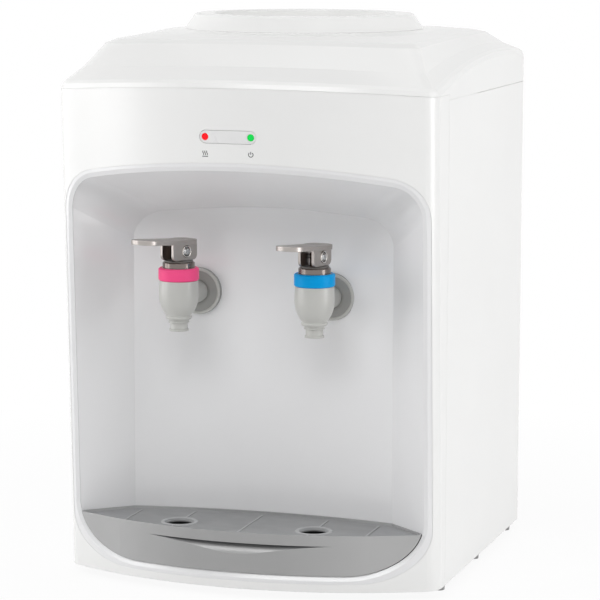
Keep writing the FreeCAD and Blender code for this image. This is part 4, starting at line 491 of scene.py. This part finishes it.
# The rim's lip goes once round the alcove's mouth, met by rays from well in front of it.
RIM_RAY_START, RIM_START, RIM_STEPS = 0.5, 100 * MM, 360
rim_middle = Vector((0, -RIM_RAY_START, middle_of("alcove_liner").z))
rim_lines = []
for step in range(RIM_STEPS):
    turn = math.tau * step / RIM_STEPS
    way = Vector((math.cos(turn), 0, math.sin(turn)))
    rim_lines.append((rim_middle + way * RIM_START, way, IN))
seam_lip("rim_seam_lip", "alcove_liner", ("front_panel",), rim_lines, "liner_grey", True)

# The cover's lip runs from one rear corner round the front to the other, met by rays towards a point inside.
COVER_RAY_START, COVER_FROM, COVER_SWEEP, COVER_STEPS = 0.4, 128, 284, 568
above_seam = Vector((0, -50 * MM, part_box("front_panel")[1][2] + 4 * MM))
cover_lines = []
for step in range(COVER_STEPS + 1):
    turn = math.radians(COVER_FROM + COVER_SWEEP * step / COVER_STEPS)
    outward = Vector((math.cos(turn), math.sin(turn), 0))
    cover_lines.append((above_seam + outward * COVER_RAY_START, -UP, -outward))
seam_lip("cover_seam_lip", "top_cover", ("front_panel", "side_panel_left", "side_panel_right"), cover_lines,
         "housing_white", False)


# ---------------------------------------------------------------- turned trim of the taps

def turned(name, rings, material, body, steps=64, around=12):
    """Round beads about one axis each: a centre, an axis, a radius and the bead's own half sizes."""
    work = bmesh.new()
    for centre, axis, radius, half_width, half_height in rings:
        side = axis.orthogonal().normalized()
        other = axis.cross(side)
        loops = []
        for i in range(steps):
            turn = math.tau * i / steps
            out = side * math.cos(turn) + other * math.sin(turn)
            loop = []
            for k in range(around):
                bend = math.tau * k / around
                reach = radius + half_width * math.cos(bend)
                loop.append(work.verts.new(centre + out * reach + axis * half_height * math.sin(bend)))
            loops.append(loop)
        for i in range(steps):
            near, far = loops[i], loops[(i + 1) % steps]
            for k in range(around):
                after = (k + 1) % around
                work.faces.new((near[k], near[after], far[after], far[k]))
    for face in work.faces:
        face.smooth = True
    add_piece(name, finished(name, work, material), body)


# Each bead of a nozzle: its rise over the nozzle's mouth, its radius and its own half height.
NOZZLE_BEADS = ((0.75 * MM, 7.0 * MM, 0.7 * MM), (6.9 * MM, 7.6 * MM, 0.5 * MM),
                (10.7 * MM, 9.6 * MM, 0.9 * MM))
NOZZLE_BEAD_HALF_WIDTH = 0.55 * MM
# The raised edge of a wall flange and the trim of a pin's head: radius or inset, half width, half height.
FLANGE_EDGE_BACK, FLANGE_EDGE = 1.7 * MM, (1.4 * MM, 1.3 * MM, 0.9 * MM)
PIN_RIM_SIZE = (4.2 * MM, 0.6 * MM, 0.9 * MM)
# The pin's groove ring is painted shade: a dark bead for the shade inside the groove.
PIN_GROOVE_SHADE_SIZE = (3.3 * MM, 0.5 * MM, 0.35 * MM)
for tap in ("hot", "ambient"):
    ring = middle_of(tap + "_tap_ring")
    foot = Vector((ring.x, ring.y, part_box(tap + "_tap_body")[0][2]))
    beads = [(foot + UP * rise, UP, radius, NOZZLE_BEAD_HALF_WIDTH, half)
             for rise, radius, half in NOZZLE_BEADS]
    turned(tap + "_nozzle_beads", beads, MATERIALS["tap_grey"], "housing")

    low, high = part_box("tap_wall_flanges")
    inset, half_width, half_height = FLANGE_EDGE
    edge = Vector((foot.x, low[1] + FLANGE_EDGE_BACK, (low[2] + high[2]) / 2))
    turned(tap + "_flange_rim", [(edge, OUT, (high[2] - low[2]) / 2 - inset, half_width, half_height)],
           MATERIALS["tap_grey"], "housing", 96)

    joint = JOINTS[tap + "_lever_press"]
    pivot, axis = Vector(joint["pos_m"]), Vector(joint["axis"]).normalized()
    lever = surface_of(tap + "_lever")
    rims, groove_shades = [], []
    for way in (axis, -axis):
        face = lever.ray_cast(pivot + way * 30 * MM + UP * 4 * MM, -way)[0]
        seat = pivot + way * (face - pivot).dot(way)
        rims.append((seat, way, *PIN_RIM_SIZE))
        groove_shades.append((seat, way, *PIN_GROOVE_SHADE_SIZE))
    turned(tap + "_pin_rims", rims, PIN_RIM, tap + "_handle")
    # Painted shade: dark rings for the shade in the grooves round the pin heads.
    turned(tap + "_pin_groove_shades", groove_shades, PAINTED_RECESS_SHADE, tap + "_handle")


# ---------------------------------------------------------------- closing springs

for tap in ("hot", "ambient"):
    low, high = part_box(tap + "_spring")
    coil = add_piece(tap + "_closing_spring", frame["nodes"][tap + "_spring"].data.copy(),
                     tap + "_swivel")
    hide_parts(tap + "_spring")
    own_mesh(coil)


# ---------------------------------------------------------------- stage, light and camera

def seen_directly(nodes, links):
    """A factor that is 1 for what the eye, a mirror or a clear sheet shows, and 0 for the object's light."""
    path = nodes.new("ShaderNodeLightPath")
    value = path.outputs["Is Camera Ray"]
    for name in ("Is Glossy Ray", "Is Transmission Ray"):
        either = nodes.new("ShaderNodeMath")
        either.operation = "MAXIMUM"
        links.new(value, either.inputs[0])
        links.new(path.outputs[name], either.inputs[1])
        value = either.outputs[0]
    return value


def paper(name, color, glow):
    """A pale matte sheet that the eye sees as lit paper, white far off and a trace darker near the object."""
    m = Shader(name)
    fibres = m.noise(300, 3)
    matte = m.node("ShaderNodeBsdfDiffuse", None, Color=m.tint(fibres, shade(color, 0.99), color))
    light = m.node("ShaderNodeEmission", None, Color=(1, 1, 1, 1), Strength=1.0)
    share = m.node("ShaderNodeMath", {"operation": "MULTIPLY"})
    m.tree.links.new(seen_directly(m.tree.nodes, m.tree.links), share.inputs[0])
    reach = m.node("ShaderNodeVectorMath", {"operation": "LENGTH"}, Vector=m.place).outputs["Value"]
    m.feed(share.inputs[1], m.spread(reach, glow, 1.0, 0.25, 0.7))
    mix = m.node("ShaderNodeMixShader", None, Fac=share)
    m.tree.links.new(matte.outputs[0], mix.inputs[1])
    m.tree.links.new(light.outputs[0], mix.inputs[2])
    m.tree.links.new(mix.outputs[0], m.output.inputs["Surface"])
    return m.material


def floor(reach):
    mesh = bpy.data.meshes.new("floor")
    corners = [(-reach, -reach, 0), (reach, -reach, 0), (reach, reach, 0), (-reach, reach, 0)]
    mesh.from_pydata(corners, [], [(0, 1, 2, 3)])
    ground = bpy.data.objects.new("floor", mesh)
    mesh.materials.append(paper("floor_paper", srgb(250, 250, 250), 0.93))
    bpy.context.scene.collection.objects.link(ground)


def softbox(name, spot, target, size, power, glossy=True):
    """A rectangular lamp in metres and watts that the camera doesn't see."""
    light = bpy.data.lights.new(name, "AREA")
    light.shape = "RECTANGLE"
    light.size, light.size_y = size
    light.energy = power
    holder = bpy.data.objects.new(name, light)
    holder.location = spot
    holder.rotation_euler = (Vector(target) - Vector(spot)).to_track_quat("-Z", "Y").to_euler()
    holder.visible_camera = False
    holder.visible_glossy = glossy
    bpy.context.scene.collection.objects.link(holder)


def world(strength):
    """White to the eye and in reflections; a softer even light on the object."""
    sky = bpy.data.worlds.new("studio")
    bpy.context.scene.world = sky
    sky.use_nodes = True
    nodes, links = sky.node_tree.nodes, sky.node_tree.links
    nodes.clear()
    level = nodes.new("ShaderNodeMapRange")
    links.new(seen_directly(nodes, links), level.inputs["Value"])
    level.inputs["To Min"].default_value = strength
    level.inputs["To Max"].default_value = 1.0
    background = nodes.new("ShaderNodeBackground")
    background.inputs["Color"].default_value = (1, 1, 1, 1)
    links.new(level.outputs[0], background.inputs["Strength"])
    output = nodes.new("ShaderNodeOutputWorld")
    links.new(background.outputs[0], output.inputs["Surface"])


AZIMUTH, ELEVATION, ROLL = math.radians(17.34), math.radians(8.02), math.radians(0.156)
CAMERA_SPOT = Vector((0.6652, -2.1183, 0.5216))
FOCAL_LENGTH, SENSOR_WIDTH = 167.3, 36


def camera():
    """The view from the right of the front and a little above, through a long lens."""
    right = Vector((math.cos(AZIMUTH), math.sin(AZIMUTH), 0))
    behind = Vector((math.sin(AZIMUTH) * math.cos(ELEVATION), -math.cos(AZIMUTH) * math.cos(ELEVATION),
                     math.sin(ELEVATION)))
    up = behind.cross(right)
    across = right * math.cos(ROLL) + up * math.sin(ROLL)
    above = up * math.cos(ROLL) - right * math.sin(ROLL)
    eye = bpy.data.cameras.new("camera")
    eye.lens = FOCAL_LENGTH
    eye.sensor_width = SENSOR_WIDTH
    holder = bpy.data.objects.new("camera", eye)
    turn = Matrix((across, above, behind)).transposed().to_4x4()
    holder.matrix_world = Matrix.Translation(CAMERA_SPOT) @ turn
    bpy.context.scene.collection.objects.link(holder)
    bpy.context.scene.camera = holder


floor(12)
softbox("key", (-1.5, -1.0, 0.6), (0, -0.1, 0.2), (0.6, 1.4), 7)
softbox("high", (0, -1.7, 1.7), (0, 0, 0.2), (1.4, 0.8), 14.5)
softbox("top", (0, 0.1, 1.9), (0, 0, 0.3), (1.4, 1.4), 5)
softbox("left", (-1.9, -0.2, 0.5), (0, 0, 0.2), (0.8, 1.3), 9)
softbox("right", (1.9, -0.2, 0.5), (0, 0, 0.2), (0.8, 1.3), 16)
softbox("back", (-0.2, 2.3, 0.6), (0, 0, 0.2), (1.4, 1.2), 11, glossy=False)
world(0.24)
camera()
bpy.context.scene.view_settings.view_transform = "Standard"
